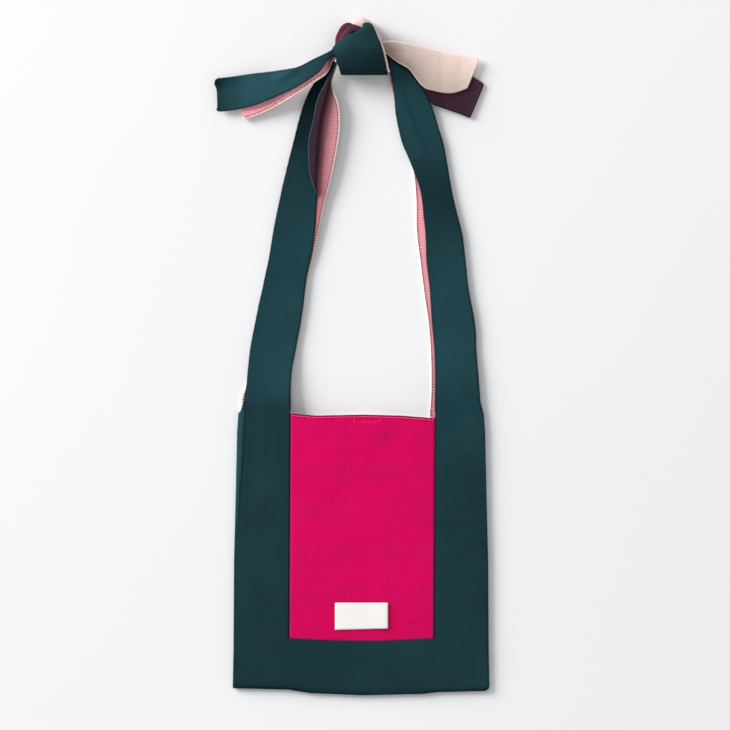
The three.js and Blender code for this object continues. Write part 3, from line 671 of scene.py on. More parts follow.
def knit(name, colour, deep=None, pitch=None, rib_tone=0.16, stitch_tone=0.24, blotch=0.09, fuzz_tone=0.2):
    """Rib knit of matt twisted yarn: ribs across, a row of small stitches in each, and a soft fuzz.

    The ribs and stitches are drawn in the cloth's own UV, which is in metres. The mesh attribute that
    the node called stretch reads holds painted light and shade: above 1 it makes the yarn lighter, and
    towards 0 it takes the yarn to its deep colour, a painted shade such as lies deep in a fold."""
    pitch = pitch or bpy.context.scene.knit_sizes.rib_pitch
    deep = deep or scaled(colour, 0.06)
    rows = [
        ("cloth", "UVMap", {"uv_map": "knit"}),
        ("place", "TexCoord"),
        # reads the painted light and shade laid on the mesh
        ("stretch", "Attribute", {"attribute_name": "tone"}),
        # stitches lean one way and then the other across each column, two rows of them to a rib
        ("plan", "SeparateXYZ", {}, {0: "cloth.UV"}),
        ("column", "Math", {"operation": "PINGPONG", 1: pitch / 2}, {0: "plan.X"}),
        ("lean", "Math", {"operation": "MULTIPLY_ADD", 1: 0.9}, {0: "column.Value", 2: "plan.Y"}),
        ("turn", "Math", {"operation": "MULTIPLY", 1: 4 * math.pi / pitch}, {0: "lean.Value"}),
        ("loops", "Math", {"operation": "SINE"}, {0: "turn.Value"}),
        ("gap", "MapRange", {"From Max": pitch * 0.2, "To Min": -0.8, "To Max": 0.15},
         {"Value": "column.Value"}),
        ("stitch", "Math", {"operation": "MULTIPLY_ADD", 1: 0.5}, {0: "loops.Value", 2: "gap.Result"}),
        ("wave", "TexWave",
         {"bands_direction": "Y", "Scale": 2 * math.pi / (20 * pitch), "Distortion": 0.6, "Detail": 2.0,
          "Detail Scale": 0.2}, {"Vector": "cloth.UV"}),
        ("patches", "TexNoise", {"Scale": 26.0, "Detail": 3.0, "Roughness": 0.6}, {"Vector": "place.Object"}),
        ("drawn", "VectorMath", {"operation": "MULTIPLY", 1: (0.3, 1, 1)}, {0: "cloth.UV"}),
        ("fuzz", "TexNoise", {"Scale": 1500.0, "Detail": 3.0, "Roughness": 0.6}, {"Vector": "drawn.Vector"}),
        ("light", "Math", {"operation": "MAXIMUM", 1: 1.0}, {0: "stretch.Fac"}),
    ]
    tones = "light.Value"
    for part, source, low, high, depth in (
        ("ribs", "wave.Fac", 0, 1, rib_tone),
        ("stitches", "stitch.Value", -1, 1, stitch_tone),
        ("blotches", "patches.Fac", 0.3, 0.7, blotch),
        ("hairs", "fuzz.Fac", 0.3, 0.7, fuzz_tone),
    ):
        span = {"From Min": low, "From Max": high, "To Min": 1 - depth, "To Max": 1 + depth}
        rows.append((part, "MapRange", span, {"Value": source}))
        rows.append((part + "_tone", "Math", {"operation": "MULTIPLY"}, {0: tones, 1: part + ".Result"}))
        tones = part + "_tone.Value"
    finish(name, [
        *rows,
        # painted shade: the yarn goes towards its deep colour where the painted light falls below 1
        ("folded", "Mix", {"data_type": "RGBA", "A_Color": deep, "B_Color": colour},
         {"Factor_Float": "stretch.Fac"}),
        ("shade", "VectorMath", {"operation": "SCALE"}, {0: "folded.Result_Color", "Scale": tones}),
        ("relief", "Math", {"operation": "ADD"}, {0: "wave.Fac", 1: "stitch.Value"}),
        ("raised", "Bump", {"Strength": 0.6, "Distance": 0.0003}, {"Height": "relief.Value"}),
        ("hairy", "Bump", {"Strength": 0.25, "Distance": 0.0002},
         {"Height": "fuzz.Fac", "Normal": "raised.Normal"}),
        ("shader", "BsdfPrincipled",
         {"Roughness": 0.95, "Specular IOR Level": 0.08, "Sheen Weight": 0.03, "Sheen Roughness": 0.5,
          "Sheen Tint": scaled(colour, 2.0)}, {"Base Color": "shade.Vector", "Normal": "hairy.Normal"}),
    ])


def thread(name, colour):
    """Spun sewing thread: a matt strand with a fine twist across it."""
    dark, light = scaled(colour, 0.8), scaled(colour, 1.15)
    finish(name, [
        ("place", "TexCoord"),
        ("twist", "TexWave", {"bands_direction": "DIAGONAL", "Scale": 700.0, "Distortion": 1.0},
         {"Vector": "place.Object"}),
        ("shade", "Mix", {"data_type": "RGBA", "A_Color": dark, "B_Color": light},
         {"Factor_Float": "twist.Fac"}),
        ("shader", "BsdfPrincipled", {"Roughness": 0.7, "Specular IOR Level": 0.3, "Sheen Weight": 0.1},
         {"Base Color": "shade.Result_Color"}),
    ])


def tape(name, colour):
    """Woven damask tape: very fine warp and weft, smooth enough for a faint satin gloss."""
    # tape threads are 0.25 mm apart and drawn at 0.5 mm, to show at all
    pitch = 2 * math.pi / (20 * 0.0005)
    finish(name, [
        ("place", "TexCoord"),
        ("warp", "TexWave", {"bands_direction": "X", "Scale": pitch}, {"Vector": "place.Object"}),
        ("weft", "TexWave", {"bands_direction": "Y", "Scale": pitch}, {"Vector": "place.Object"}),
        ("weave", "Math", {"operation": "MULTIPLY"}, {0: "warp.Fac", 1: "weft.Fac"}),
        ("patches", "TexNoise", {"Scale": 90.0, "Detail": 3.0}, {"Vector": "place.Object"}),
        ("shade", "Mix", {"data_type": "RGBA", "A_Color": scaled(colour, 0.96), "B_Color": colour},
         {"Factor_Float": "patches.Fac"}),
        ("raised", "Bump", {"Strength": 0.2, "Distance": 0.0001}, {"Height": "weave.Value"}),
        ("shader", "BsdfPrincipled", {"Roughness": 0.55, "Specular IOR Level": 0.35, "Sheen Weight": 0.05},
         {"Base Color": "shade.Result_Color", "Normal": "raised.Normal"}),
    ])


def paper(name, colour):
    """Matt white background paper, a little mottled."""
    finish(name, [
        ("place", "TexCoord"),
        ("patches", "TexNoise", {"Scale": 2.0, "Detail": 2.0}, {"Vector": "place.Object"}),
        ("shade", "Mix", {"data_type": "RGBA", "A_Color": colour, "B_Color": srgb("#f5f6f7")},
         {"Factor_Float": "patches.Fac"}),
        ("shader", "BsdfPrincipled", {"Roughness": 0.95, "Specular IOR Level": 0.1},
         {"Base Color": "shade.Result_Color"}),
    ])


# Each finish: its maker, its colour as a name or a code, that colour's factor, and how it differs
FINISHES = {
    "rib_knit_teal": (knit, "teal", 1, {}),
    "rib_knit_plum": (knit, "plum", 1, {}),
    "rib_knit_magenta": (
        knit, "magenta", 1, {"rib_tone": 0.07, "stitch_tone": 0.14, "blotch": 0.05, "fuzz_tone": 0.26}),
    # deep is the painted shade colour that the pink and the beige go to where their painted light falls below
    # 1
    "rib_knit_pink": (
        knit, "pink", 1,
        {"deep": srgb("#3c121a"), "rib_tone": 0.2, "stitch_tone": 0.1, "blotch": 0.04, "fuzz_tone": 0.12}),
    "rib_knit_beige": (
        knit, "beige", 1,
        {"deep": srgb("#382420"), "rib_tone": 0.07, "stitch_tone": 0.08, "blotch": 0.03, "fuzz_tone": 0.12}),
    # pink knit painted in deep shade
    "rib_knit_maroon": (knit, "maroon", 1, {}),
    "linking_plum": (knit, "#2b0c25", 1, {}),
    "linking_rim": (knit, "#7a1040", 1, {}),
    "linking_mauve": (knit, "#a02c5c", 1, {"pitch": 0.0016}),
    "selvedge_cream": (
        knit, "cream", 1, {"rib_tone": 0.04, "stitch_tone": 0.05, "blotch": 0.03, "fuzz_tone": 0.1}),
    "selvedge_teal": (knit, "teal", 0.7, {}),
    "thread_dark": (thread, "teal", 0.3, {}),
    "thread_plum": (thread, "#3c0e1e", 1, {}),
    "thread_grey": (thread, "#7c8896", 1, {}),
    "thread_magenta": (thread, "#ff5494", 1, {}),
    "thread_cream": (thread, "label", 1, {}),
    "label_tape": (tape, "label", 1, {}),
    "background_paper": (paper, "#f2f2f4", 1, {}),
}


def finish_of(kind):
    """The shared material of a finish, made once."""
    if kind not in bpy.data.materials:
        maker, tint, factor, differences = FINISHES[kind]
        colour = srgb(tint) if tint[0] == "#" else getattr(bpy.context.scene.knit_colours, tint)
        maker(kind, scaled(colour, factor), **differences)
    return bpy.data.materials[kind]


# Upper face, lower face and edge of each cloth, as it lies or turned over
FRONT = ("rib_knit_teal", "rib_knit_plum", "selvedge_teal")
FRONT_TURNED = ("rib_knit_plum", "rib_knit_teal", "selvedge_teal")
BACK = ("rib_knit_pink", "rib_knit_beige", "selvedge_cream")
BACK_TURNED = ("rib_knit_beige", "rib_knit_pink", "selvedge_cream")
TAPE = ("label_tape",) * 3
# pink knit painted in deep shade on all its faces, for the loop behind the knot's left side
PINK_IN_PAINTED_SHADE = ("rib_knit_maroon",) * 3


# Pieces


def dress(piece, slot, bodies, nodes=(), **span):
    """Hides the frame's parts of a piece's nodes, and hangs the piece on the body that it rides; a piece with
    a span is only baked in place. slot is not used.
    """
    if nodes:
        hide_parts(*nodes)
    if span:
        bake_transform(piece)
    else:
        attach(piece, *bodies)


def front_grid():
    """Plan places of the whole front, with lines of the grid along the inlaid panel's edges."""
    inset_edge = MOUTH_HALF / RIM_HALF
    left = -1 + edge_shares(SIDE_CELLS) * (1 - inset_edge)
    middle = (edge_shares(INSET_CELLS)[1:] * 2 - 1) * MOUTH_HALF / RIM_HALF
    shares = np.concatenate([left, middle, -left[::-1][1:]])
    rim_x = shares * RIM_HALF
    foot = foot_at(rim_x)
    bottom = bottom_at(shares * POUCH_HALF) + SEAM_WIDTH * 0.5
    over_inset = np.abs(rim_x) <= MOUTH_HALF + 1e-6
    top = np.where(over_inset, mouth_at(np.clip(rim_x, -MOUTH_HALF, MOUTH_HALF)), RIM_Y)
    low = bottom + (foot - bottom) * edge_shares(FOOT_CELLS)[:, None]
    high = foot + (top - foot) * edge_shares(RISE_CELLS)[:, None]
    ys = np.concatenate([low, high[1:]])
    out = (np.abs(shares) - inset_edge) / (1 - inset_edge)
    start = MOUTH_HALF + np.sign(shares) * slanted(ys)
    beside = np.sign(shares) * (start + (panel_side(shares, ys) - start) * out)
    inside = shares / inset_edge * MOUTH_HALF + slanted(ys)
    return np.where(np.abs(shares) <= inset_edge, inside, beside), ys


class KNOTBAG_OT_stage(bpy.types.Operator):
    """Sets the background paper, the soft studio light and the camera above the bag."""

    bl_idname = "knot_bag.stage"
    bl_label = "Stage and Light"

    def execute(self, context):
        scene = context.scene
        bm = bmesh.new()
        bmesh.ops.create_grid(bm, x_segments=8, y_segments=8, size=6)
        bmesh.ops.translate(bm, verts=bm.verts[:], vec=(0, 0, -0.0004))
        object_from(bm, "background_paper", ["background_paper"])
        camera = bpy.data.objects.new("above", bpy.data.cameras.new("above"))
        camera.data.lens, camera.data.sensor_width, camera.data.clip_end = LENS, SENSOR, 50
        # the picture is 730 mm wide at the middle height of the pouch
        camera.location = (CAMERA_X, CAMERA_Y, PICTURE_WIDTH / SENSOR * LENS + POUCH_MIDDLE_Z)
        scene.camera = camera
        # one wide window, low on the left, gives long soft shadows to the right and below
        lamp = bpy.data.objects.new("window", bpy.data.lights.new("window", "AREA"))
        lamp.data.shape, lamp.data.size, lamp.data.energy = "DISK", LAMP_SIZE, LAMP_POWER
        turn, rise = math.radians(LAMP_TURN), math.radians(LAMP_RISE)
        way = Vector((math.cos(turn) * math.cos(rise), math.sin(turn) * math.cos(rise), math.sin(rise)))
        lamp.location = Vector(LAMP_AIM) + way * LAMP_AWAY
        lamp.rotation_euler = (-way).to_track_quat("-Z", "Y").to_euler()
        for made in (camera, lamp):
            scene.collection.objects.link(made)
        scene.world = bpy.data.worlds.new("pale_room")
        grow(scene.world, [
            ("seen", "LightPath"),
            ("room", "Background", {"Color": srgb("#fcfcfe"), "Strength": 0.53}),
            ("shown", "Background", {"Color": srgb("#f2f3f6"), "Strength": 1.0}),
            ("choice", "MixShader", {},
             {0: "seen.Is Camera Ray", 1: "room.Background", 2: "shown.Background"}),
            ("surface", "OutputWorld", {}, {"Surface": "choice.Shader"}),
        ])
        scene.view_settings.view_transform = "Standard"
        return {"FINISHED"}


class KNOTBAG_OT_back(bpy.types.Operator):
    """Makes the pouch's back layer with its rim hem."""

    bl_idname = "knot_bag.back"
    bl_label = "Pouch Back"

    def execute(self, context):
        beside = edge_shares(16) * 0.42
        shares = np.concatenate([-1 + beside, (edge_shares(40)[1:] * 2 - 1) * 0.58, 0.58 + beside[1:]])
        rim_x = shares * RIM_HALF
        low = bottom_at(shares * POUCH_HALF) + SEAM_WIDTH * 0.5
        top = np.where(np.abs(rim_x) <= BACK_MOUTH_HALF, mouth_at(rim_x) - BACK_RIM_DROP, RIM_Y)
        ys = low + (top - low) * edge_shares(90)[:, None]
        xs = shares * panel_side(shares, ys)
        back = panel("pouch_back", xs, ys, BACK_LEVEL, BACK)
        dress(back, "knit_beige", ["pouch"], ["back_panel", "back_rim_hem"])
        return {"FINISHED"}


class KNOTBAG_OT_front(bpy.types.Operator):
    """Makes the pouch's front: the teal frame, the inlaid panel and its rolled rim hem."""

    bl_idname = "knot_bag.front"
    bl_label = "Pouch Front"

    def execute(self, context):
        xs, ys = front_grid()
        # how many cells each cell lies inside the inlaid panel, below 0 in the frame round it
        row, column = np.indices((xs.shape[0] - 1, xs.shape[1] - 1))
        from_side = np.minimum(column - SIDE_CELLS, SIDE_CELLS + INSET_CELLS - 1 - column)
        depth = np.minimum(from_side, row - FOOT_CELLS)
        # a groove along the sides and the foot of the inlaid panel
        flat_x = xs - slanted(ys)
        foot = foot_at(flat_x)
        off_foot = np.where(np.abs(flat_x) < MOUTH_HALF + 1, np.abs(ys - foot), np.inf)
        off_side = np.where(ys > foot - 1, np.abs(np.abs(flat_x) - MOUTH_HALF), np.inf)
        groove = bump(np.minimum(off_side, off_foot), 0.9)
        zs = front_height(xs, ys) - 0.45 * groove - side_groove(xs, ys)
        frame_piece = panel(
            "front_frame_knit", xs, ys, zs, (*FRONT, "linking_plum"), keep=depth < 0,
            lined=(depth >= -2) & (row >= FOOT_CELLS - 1), tones=body_painted_light(xs, ys))
        dress(frame_piece, "knit_teal", ["pouch"], ["front_frame"])
        magenta = "rib_knit_magenta"
        inset = panel(
            "front_inset_knit", xs, ys, zs, (magenta, "rib_knit_plum", magenta, "linking_mauve"),
            keep=depth >= 0, lined=depth < 2)
        dress(inset, "knit_magenta", ["pouch"], ["front_inset"])
        # the rim rolls over towards the front in a hem about 3 mm deep, with painted shade along its top
        deep, high = HEM_SECTION
        turns = np.linspace(0, 2 * np.pi, 15)[:-1]
        ring = [(deep * np.cos(turn), high * np.sin(turn)) for turn in [*turns, 0]]
        across = np.linspace(-MOUTH_HALF, MOUTH_HALF, 181)
        rim = mouth_at(across)
        hem_x = across + slanted(rim)
        rings = [
            [(x, y - 1 + a, z + 0.2 + b) for a, b in ring]
            for x, y, z in zip(hem_x, rim, front_height(hem_x, rim - deep))
        ]
        hem = roll("front_rim_hem_knit", rings, [magenta, "linking_rim"])
        # the hem's upper back faces take the painted shade
        for face in hem.data.polygons:
            face.material_index = int(face.normal.y > 0.3 and face.normal.z > 0)
        dress(hem, "knit_magenta", ["pouch"], ["front_rim_hem"])
        places = []
        for x in np.arange(-MOUTH_HALF + 1.5, MOUTH_HALF - 1, 2.3):
            y = mouth_at(x)
            x = x + slanted(y)
            z = float(front_height(x, y - deep)) + 1.35
            places.append(((x, y - 1.7, z), (1, 0, 0), (0, 0.2, 1)))
        stitches = beads("rim_stitches", places, 0.5, 1.9, "thread_magenta")
        dress(stitches, "sewing_thread", ["pouch"])
        return {"FINISHED"}


class KNOTBAG_OT_seams(bpy.types.Operator):
    """Makes the linked seams down both sides and along the sagging bottom."""

    bl_idname = "knot_bag.seams"
    bl_label = "Seams"

    def execute(self, context):
        # a fold of both layers: flat where it meets the panels, round outside
        outer, inner = SEAM_WIDTH * 0.45, SEAM_WIDTH * 0.55
        turns = np.linspace(-np.pi / 2, np.pi / 2, 11)
        section = [(outer * np.cos(a), SEAM_HEIGHT / 2 * (1 + np.sin(a))) for a in turns]
        section += [(-inner * inward, SEAM_HEIGHT - 0.35 * inward) for inward in (0.35, 0.75, 1.0)]
        section += [(-inner * inward, 0.35 * inward) for inward in (1.0, 0.75, 0.35)]
        section.append(section[0])
        pitch = context.scene.knit_sizes.rib_pitch / MM
        for side, word in ((-1, "left"), (1, "right")):
            ys = np.arange(BOTTOM_Y + 1.5, RIM_Y + 0.01, pitch / 4)
            edges = side_at(ys) - outer + (LEFT_OUT if side < 0 else 0)
            rings = []
            for y, edge, rise in zip(ys, edges, 0.5 * eased(ys, BOTTOM_Y, BOTTOM_Y + 30)):
                swollen = 1 + 0.03 * math.cos(2 * math.pi * y / pitch)
                ring = [
                    (side * (edge + a * swollen), y, b * swollen + (rise if b > 2.2 else 0))
                    for a, b in section
                ]
                rings.append(ring[::side])
            # painted highlight: the side folds are drawn lighter towards the mouth, the left one most
            painted_highlight = 1 + (1.0 if side < 0 else 0.4) * eased(ys, -20, 80)
            fold = roll(word + "_side_fold", rings, ["rib_knit_teal"], painted_highlight)
            dress(fold, "knit_teal", ["pouch"], [word + "_side_seam"])
        rings = []
        for x in np.arange(-POUCH_HALF - LEFT_OUT + 0.3, POUCH_HALF - 0.2, pitch / 4):
            swollen = 1 + 0.05 * math.cos(2 * math.pi * x / pitch)
            edge = bottom_at(x) + outer
            from_end = POUCH_HALF + (LEFT_OUT if x < 0 else 0) - abs(x)
            thick = swollen * min(1.0, math.sqrt(max(0.0, from_end / 3)))
            rings.append([(x, edge - a * swollen, 2.15 + (b - 2.15) * thick) for a, b in section])
        # painted shade: the bottom fold is drawn darker all along
        fold = roll("bottom_fold", rings, ["rib_knit_teal"], 0.75)
        dress(fold, "knit_teal", ["pouch"], ["bottom_seam"])
        return {"FINISHED"}


class KNOTBAG_OT_label(bpy.types.Operator):
    """Makes the bare woven label on the front, with the stitches that hold it."""

    bl_idname = "knot_bag.label"
    bl_label = "Front Label"

    def execute(self, context):
        sizes = context.scene.knit_sizes
        width, height = sizes.label_width / MM, sizes.label_height / MM
        half_w, half_h = width / 2, height / 2
        middle_y = LABEL_FOOT_Y + half_h

        def label_level(x, y):
            return front_height(x, y) + LABEL_CLEARANCE + 0.5 * eased(x, 0, half_w)

        cx, cy = np.meshgrid((edge_shares(40) - 0.5) * width, edge_shares(24) * height - half_h)
        # rounded corners: points in a corner's square are drawn in onto its round
        over_x = np.maximum(0, np.abs(cx) - half_w + LABEL_CORNER)
        over_y = np.maximum(0, np.abs(cy) - half_h + LABEL_CORNER)
        reach = np.hypot(over_x, over_y)
        pull = np.where(reach > 0, np.maximum(over_x, over_y) / np.maximum(reach, 1e-9), 1)
        cx = np.sign(cx) * (np.minimum(np.abs(cx), half_w - LABEL_CORNER) + over_x * pull)
        cy = np.sign(cy) * (np.minimum(np.abs(cy), half_h - LABEL_CORNER) + over_y * pull)
        ys = cy + middle_y + LABEL_TILT * cx * (half_h - cy) / height
        edge = np.minimum(half_w - np.abs(cx), half_h - np.abs(cy))
        points = np.stack([cx, ys, label_level(cx, ys) - 0.3 * np.exp(-edge / 1.2)], axis=2)
        label = ribbon("label", points, TAPE, thickness=0.9, rib=0, edges=(0, 0))
        dress(label, "label_cloth", ["pouch"], ["front_label"])
        places = []
        for along_x in (True, False):
            reach = (half_w if along_x else half_h) - 2.6
            for step in np.arange(-reach, reach + 0.01, LABEL_STITCH_PITCH):
                for side in (-1, 1):
                    x = step if along_x else side * (half_w - LABEL_STITCH_INSET)
                    y = middle_y + (side * (half_h - LABEL_STITCH_INSET) if along_x else step)
                    z = float(label_level(x, y)) + 0.41
                    places.append(((x, y, z), (1, 0, 0) if along_x else (0, 1, 0), (0, 0, 1)))
        stitches = beads("label_stitches", places, 0.28, 2.4, "thread_cream")
        dress(stitches, "sewing_thread", ["pouch"])
        return {"FINISHED"}


class KNOTBAG_OT_tag(bpy.types.Operator):
    """Makes the tag inside the mouth and the stitched box that tacks it to the rim."""

    bl_idname = "knot_bag.tag"
    bl_label = "Inside Tag"

    def execute(self, context):
        top = mouth_at(5.0) - 1.5
        xs = TAG_LEFT_X + edge_shares(16) * TAG_WIDTH
        xs, ys = np.meshgrid(xs, top - TAG_LENGTH + edge_shares(30) * TAG_LENGTH)
        wave = 0.35 * np.sin((ys - top) / 9) * (1 - eased(ys, top - 12, top))
        points = np.stack([xs, ys, front_height(xs, ys) - 2.0 + wave], axis=2)
        tag = ribbon("inside_tag_tape", points, TAPE, thickness=0.7, rib=0, edges=(0, 0))
        dress(tag, "label_cloth", ["pouch"], ["inside_tag"])
        # a row under the hem, a row on it, and a short row at each side
        foot = top - 5.4
        spots = []
        for x in TAG_LEFT_X + np.arange(0, 25.01, 2.1):
            spots += [(x, foot, 1.05), (x, top - 0.1, 1.6)]
        for x in (TAG_LEFT_X, TAG_LEFT_X + 25.2):
            spots += [(x, y, 1.05) for y in np.arange(foot + 1.4, top - 1, 1.4)]
        places = [((x, y, float(front_height(x, y)) + lift), (0, 1, 0), (0, 0, 1)) for x, y, lift in spots]
        tack = beads("tag_tack_stitches", places, 0.36, 1.5, "thread_magenta")
        dress(tack, "sewing_thread", ["pouch"], ["tag_stitching"])
        return {"FINISHED"}


def strap_grid(rows, length, in_front, folded):
    """The middle points of a strap, from its root at the rim to the knot."""
    table = softened(smooth(filled(rows, 4), int(length / ROW_STEP) + 1), ROWS_SOFTENED)
    y, left, right, last = table.T[..., None]
    shares = edge_shares(24 if folded else 18)[None, :]
    along = (y - RIM_Y) / length
    level = FRONT_LEVEL if in_front else BACK_LEVEL
    lift = 4.6 * eased(along, 0.8, 1)
    if folded:
        flat = right - left - FOLD_RADIUS
        reach = shares * (flat + last)
        past = np.maximum(0, reach - flat)
        turn = np.minimum(past / FOLD_RADIUS, np.pi)
        back = np.maximum(0, past - np.pi * FOLD_RADIUS)
        x = left + np.minimum(reach, flat) + FOLD_RADIUS * np.sin(turn) - back
        curl = FOLD_RADIUS * (1 - np.cos(turn)) * eased(last, 2.4, 7) + back * 0.06
    else:
        x = left + (right - left) * shares
        curl = last * shares**3
    y = y + 0 * x
    waves = (0.5 if in_front else 0.12) * ripple(x, y, 46, 1.7 + level)
    z = level + lift + curl + waves * eased(along, 0.02, 0.12)
    if in_front:
        z = z + swell_at(np.clip(x, -RIM_HALF, RIM_HALF), RIM_Y) * (1 - eased(along, 0, 0.22))
        z = z + 0.9 * np.sin(np.pi * shares) * eased(along, 0.05, 0.3)
        away = eased(y - RIM_Y, 0, 26)
        z = z * away + (front_height(x, RIM_Y) - side_groove(x, RIM_Y)) * (1 - away)
    return np.stack([x, y, z], axis=2)


def front_strap_painted_light(points, tones, lean):
    """Painted light and shade on a front strap: its tones from rim to knot, how much its right side gains,
    painted light where it turns over, and the pouch's painted light where it leaves the rim.
    """
    y = points[..., 1]
    tone = read(tones, y) * (1 + lean * (edge_shares(points.shape[1] - 1) - 0.5))
    tone = np.where(normals_of(points)[..., 2] < 0, 1.25, tone)
    away = eased(y - RIM_Y, 0, 26)
    return tone * away + body_painted_light(points[..., 0], RIM_Y) * (1 - away)


# Each strap: its rows, its painted light and shade by Y, how much painted light its right side gains on that,
# the widths of its selvedges, and its rows of dots as side, inset, lift, radius, bare end and thread
STRAPS = {
    "left_back_strap": (
        LEFT_BACK_STRAP, [(138, 1), (290, 0.5), (350, 0.52), (400, 0.6), (440, 0.66), (470, 0.55)], 0,
        (1.1, 1.3), [(-1, 2.5, 1.15, 0.9, 4, "thread_plum"), (1, 2.5, 1.15, 0.9, 4, "thread_plum")]),
    "right_back_strap": (
        RIGHT_BACK_STRAP, [(138, 1), (190, 1.05), (300, 1.15), (350, 1.1), (400, 1), (470, 0.5)], 0,
        (0.4, 0.4), [(-1, 1.5, 1.1, 1.0, 120, "thread_plum"), (1, 1.2, 1.05, 0.8, 4, "thread_plum")]),
    "left_front_strap": (
        LEFT_FRONT_STRAP, [(138, 1.3), (200, 1.6), (330, 1.4), (390, 0.95), (420, 0.5), (450, 0.2)], 0.3,
        ROLLED, [(-1, 0.4, 0.6, 0.65, 4, "thread_dark"), (1, 0.8, -0.95, 0.6, 4, "thread_grey")]),
    "right_front_strap": (
        RIGHT_FRONT_STRAP,
        [(138, 1.45), (200, 1.7), (290, 1.5), (328, 1.05), (342, 0.86), (355, 0.8), (375, 1.0), (400, 1.5),
         (440, 1.6), (480, 1.9)], 0.1,
        ROLLED, [(-1, 0.4, 0.6, 0.65, 4, "thread_dark"), (1, 0.4, 0.6, 0.65, 4, "thread_dark")]),
}


class KNOTBAG_OT_straps(bpy.types.Operator):
    """Makes the four shoulder straps, each a knitted band from the rim to the knot."""

    bl_idname = "knot_bag.straps"
    bl_label = "Shoulder Straps"

    def execute(self, context):
        for node, (rows, tones, lean, selvedges, dotted) in STRAPS.items():
            in_front, folded = "front" in node, node == "left_front_strap"
            length = LEFT_STRAP_LENGTH if "left" in node else RIGHT_STRAP_LENGTH
            points = strap_grid(rows, length, in_front, folded)
            x, y, z = np.moveaxis(points, 2, 0)
            if node == "right_front_strap":
                z += 1.4 * crease(x, y, (34, 470), (60, 395), 3.5)
            shades = front_strap_painted_light(points, tones, lean) if in_front else read(tones, y)
            if node == "left_back_strap":
                # painted shadow where the front strap's fold stands over it
                fold_y, _, fold_x, _ = zip(*LEFT_FRONT_STRAP)
                near = bump(x - np.interp(y, fold_y, fold_x), 5.5) * eased(y, 330, 400)
                shades = shades * (1 - 0.85 * near)
            strap = ribbon(
                node + "_knit", points, FRONT if in_front else BACK, flat_root=True, tones=shades,
                edges=selvedges, origin=(rows[0][1], rows[0][0]), edge_light=0 if in_front else 0.7)
            dress(strap, "knit_teal" if in_front else "knit_pink", STRAP_BODIES, [node], **STRAP_BLEND)
            for count, (side, inset, lift, radius, stop, yarn) in enumerate(dotted):
                places = edge_places(points, side, inset, lift, stop=stop)
                dots = beads(f"{node}_stitches_{count}", places, radius, 0.75, yarn)
                dress(dots, "sewing_thread", STRAP_BODIES, **STRAP_BLEND)
        return {"FINISHED"}


def round_corners(points, radius):
    """Draws a band's free end in at both corners, to rounds of a radius."""
    across, _ = lengths_of(points)
    _, from_end = from_far_edges(points)
    short = np.clip(radius - from_end, 0, radius)
    inset = radius - np.sqrt(np.maximum(0, radius**2 - short**2))
    middle = (points[:, :1] + points[:, -1:]) / 2
    half = across[:, -1:] / 2
    pull = inset / half * np.abs(across / half - 1) ** 3
    return points + (middle - points) * pull[..., None]


TAIL_SHARES = edge_shares(20)  # across a tail, from its left edge to its right one


def tail_grid(rows, level, falls):
    """The middle points of a tail, from inside the knot to its free end."""
    table = softened(smooth(filled(rows, 6), 240), ROWS_SOFTENED)[:, None]
    shares = TAIL_SHARES[:, None]
    plan = table[..., 0:2] * (1 - shares) + table[..., 2:4] * shares
    root = (rows[1][0] + rows[1][2]) / 2
    reach = max(abs(row[0] - root) for row in rows)
    fall = read(falls, np.clip(np.abs(plan[..., 0] - root) / reach, 0, 1))
    lifts = table[..., 4] * (1 - TAIL_SHARES) ** 2 + table[..., 5] * TAIL_SHARES**2
    return np.concatenate([plan, (level + TAIL_DROP * fall + lifts)[..., None]], axis=2)


def left_lower_look(points, shades):
    """Painted lighter towards its upper edge, where the other tail lies over it and shades it."""
    return shades * (1 + 0.7 * eased(TAIL_SHARES, 0.12, 0.42))


def left_upper_look(points, shades):
    """Two horns at its curled end, one soft fold, painted light a little stronger towards its top, and a band
    of painted shade along its top towards its end.
    """
    _, from_end = from_far_edges(points)
    near_end = eased(-from_end, -6, 0)
    upper, lower = near_end * bump(TAIL_SHARES - 0.87, 0.13), near_end * bump(TAIL_SHARES, 0.07)
    x, y, z = np.moveaxis(points, 2, 0)
    x -= 2.4 * upper + 0.9 * lower
    z += 1.6 * (upper + lower)
    z += 1.6 * crease(x, y, (-62, 484), (-84, 471), 4)
    shades = shades * (1 - 0.2 * (0.5 - TAIL_SHARES))
    return shades * (1 - 0.5 * eased(TAIL_SHARES, 0.5, 1) * eased(-from_end, -46, -8))


def right_lower_look(points, shades):
    """A light line of linking inside a dark rim, along its end and its right side."""
    for away in from_far_edges(points):
        shades = shades * (1 + 0.3 * bump(away - 2.2, 0.6)) * (1 - 0.7 * bump(away, 1.1))
    return shades


def right_upper_look(points, shades):
    """Painted lighter on its left side, the upper one, with a pale end and one crease out of the knot."""
    _, from_end = from_far_edges(points)
    x, y, z = np.moveaxis(points, 2, 0)
    z -= 1.8 * crease(x, y, (20, 503), (44, 496), 3.2)
    return shades * (1 + 0.5 * (0.5 - TAIL_SHARES)) + 0.3 * bump(from_end, 1.6)


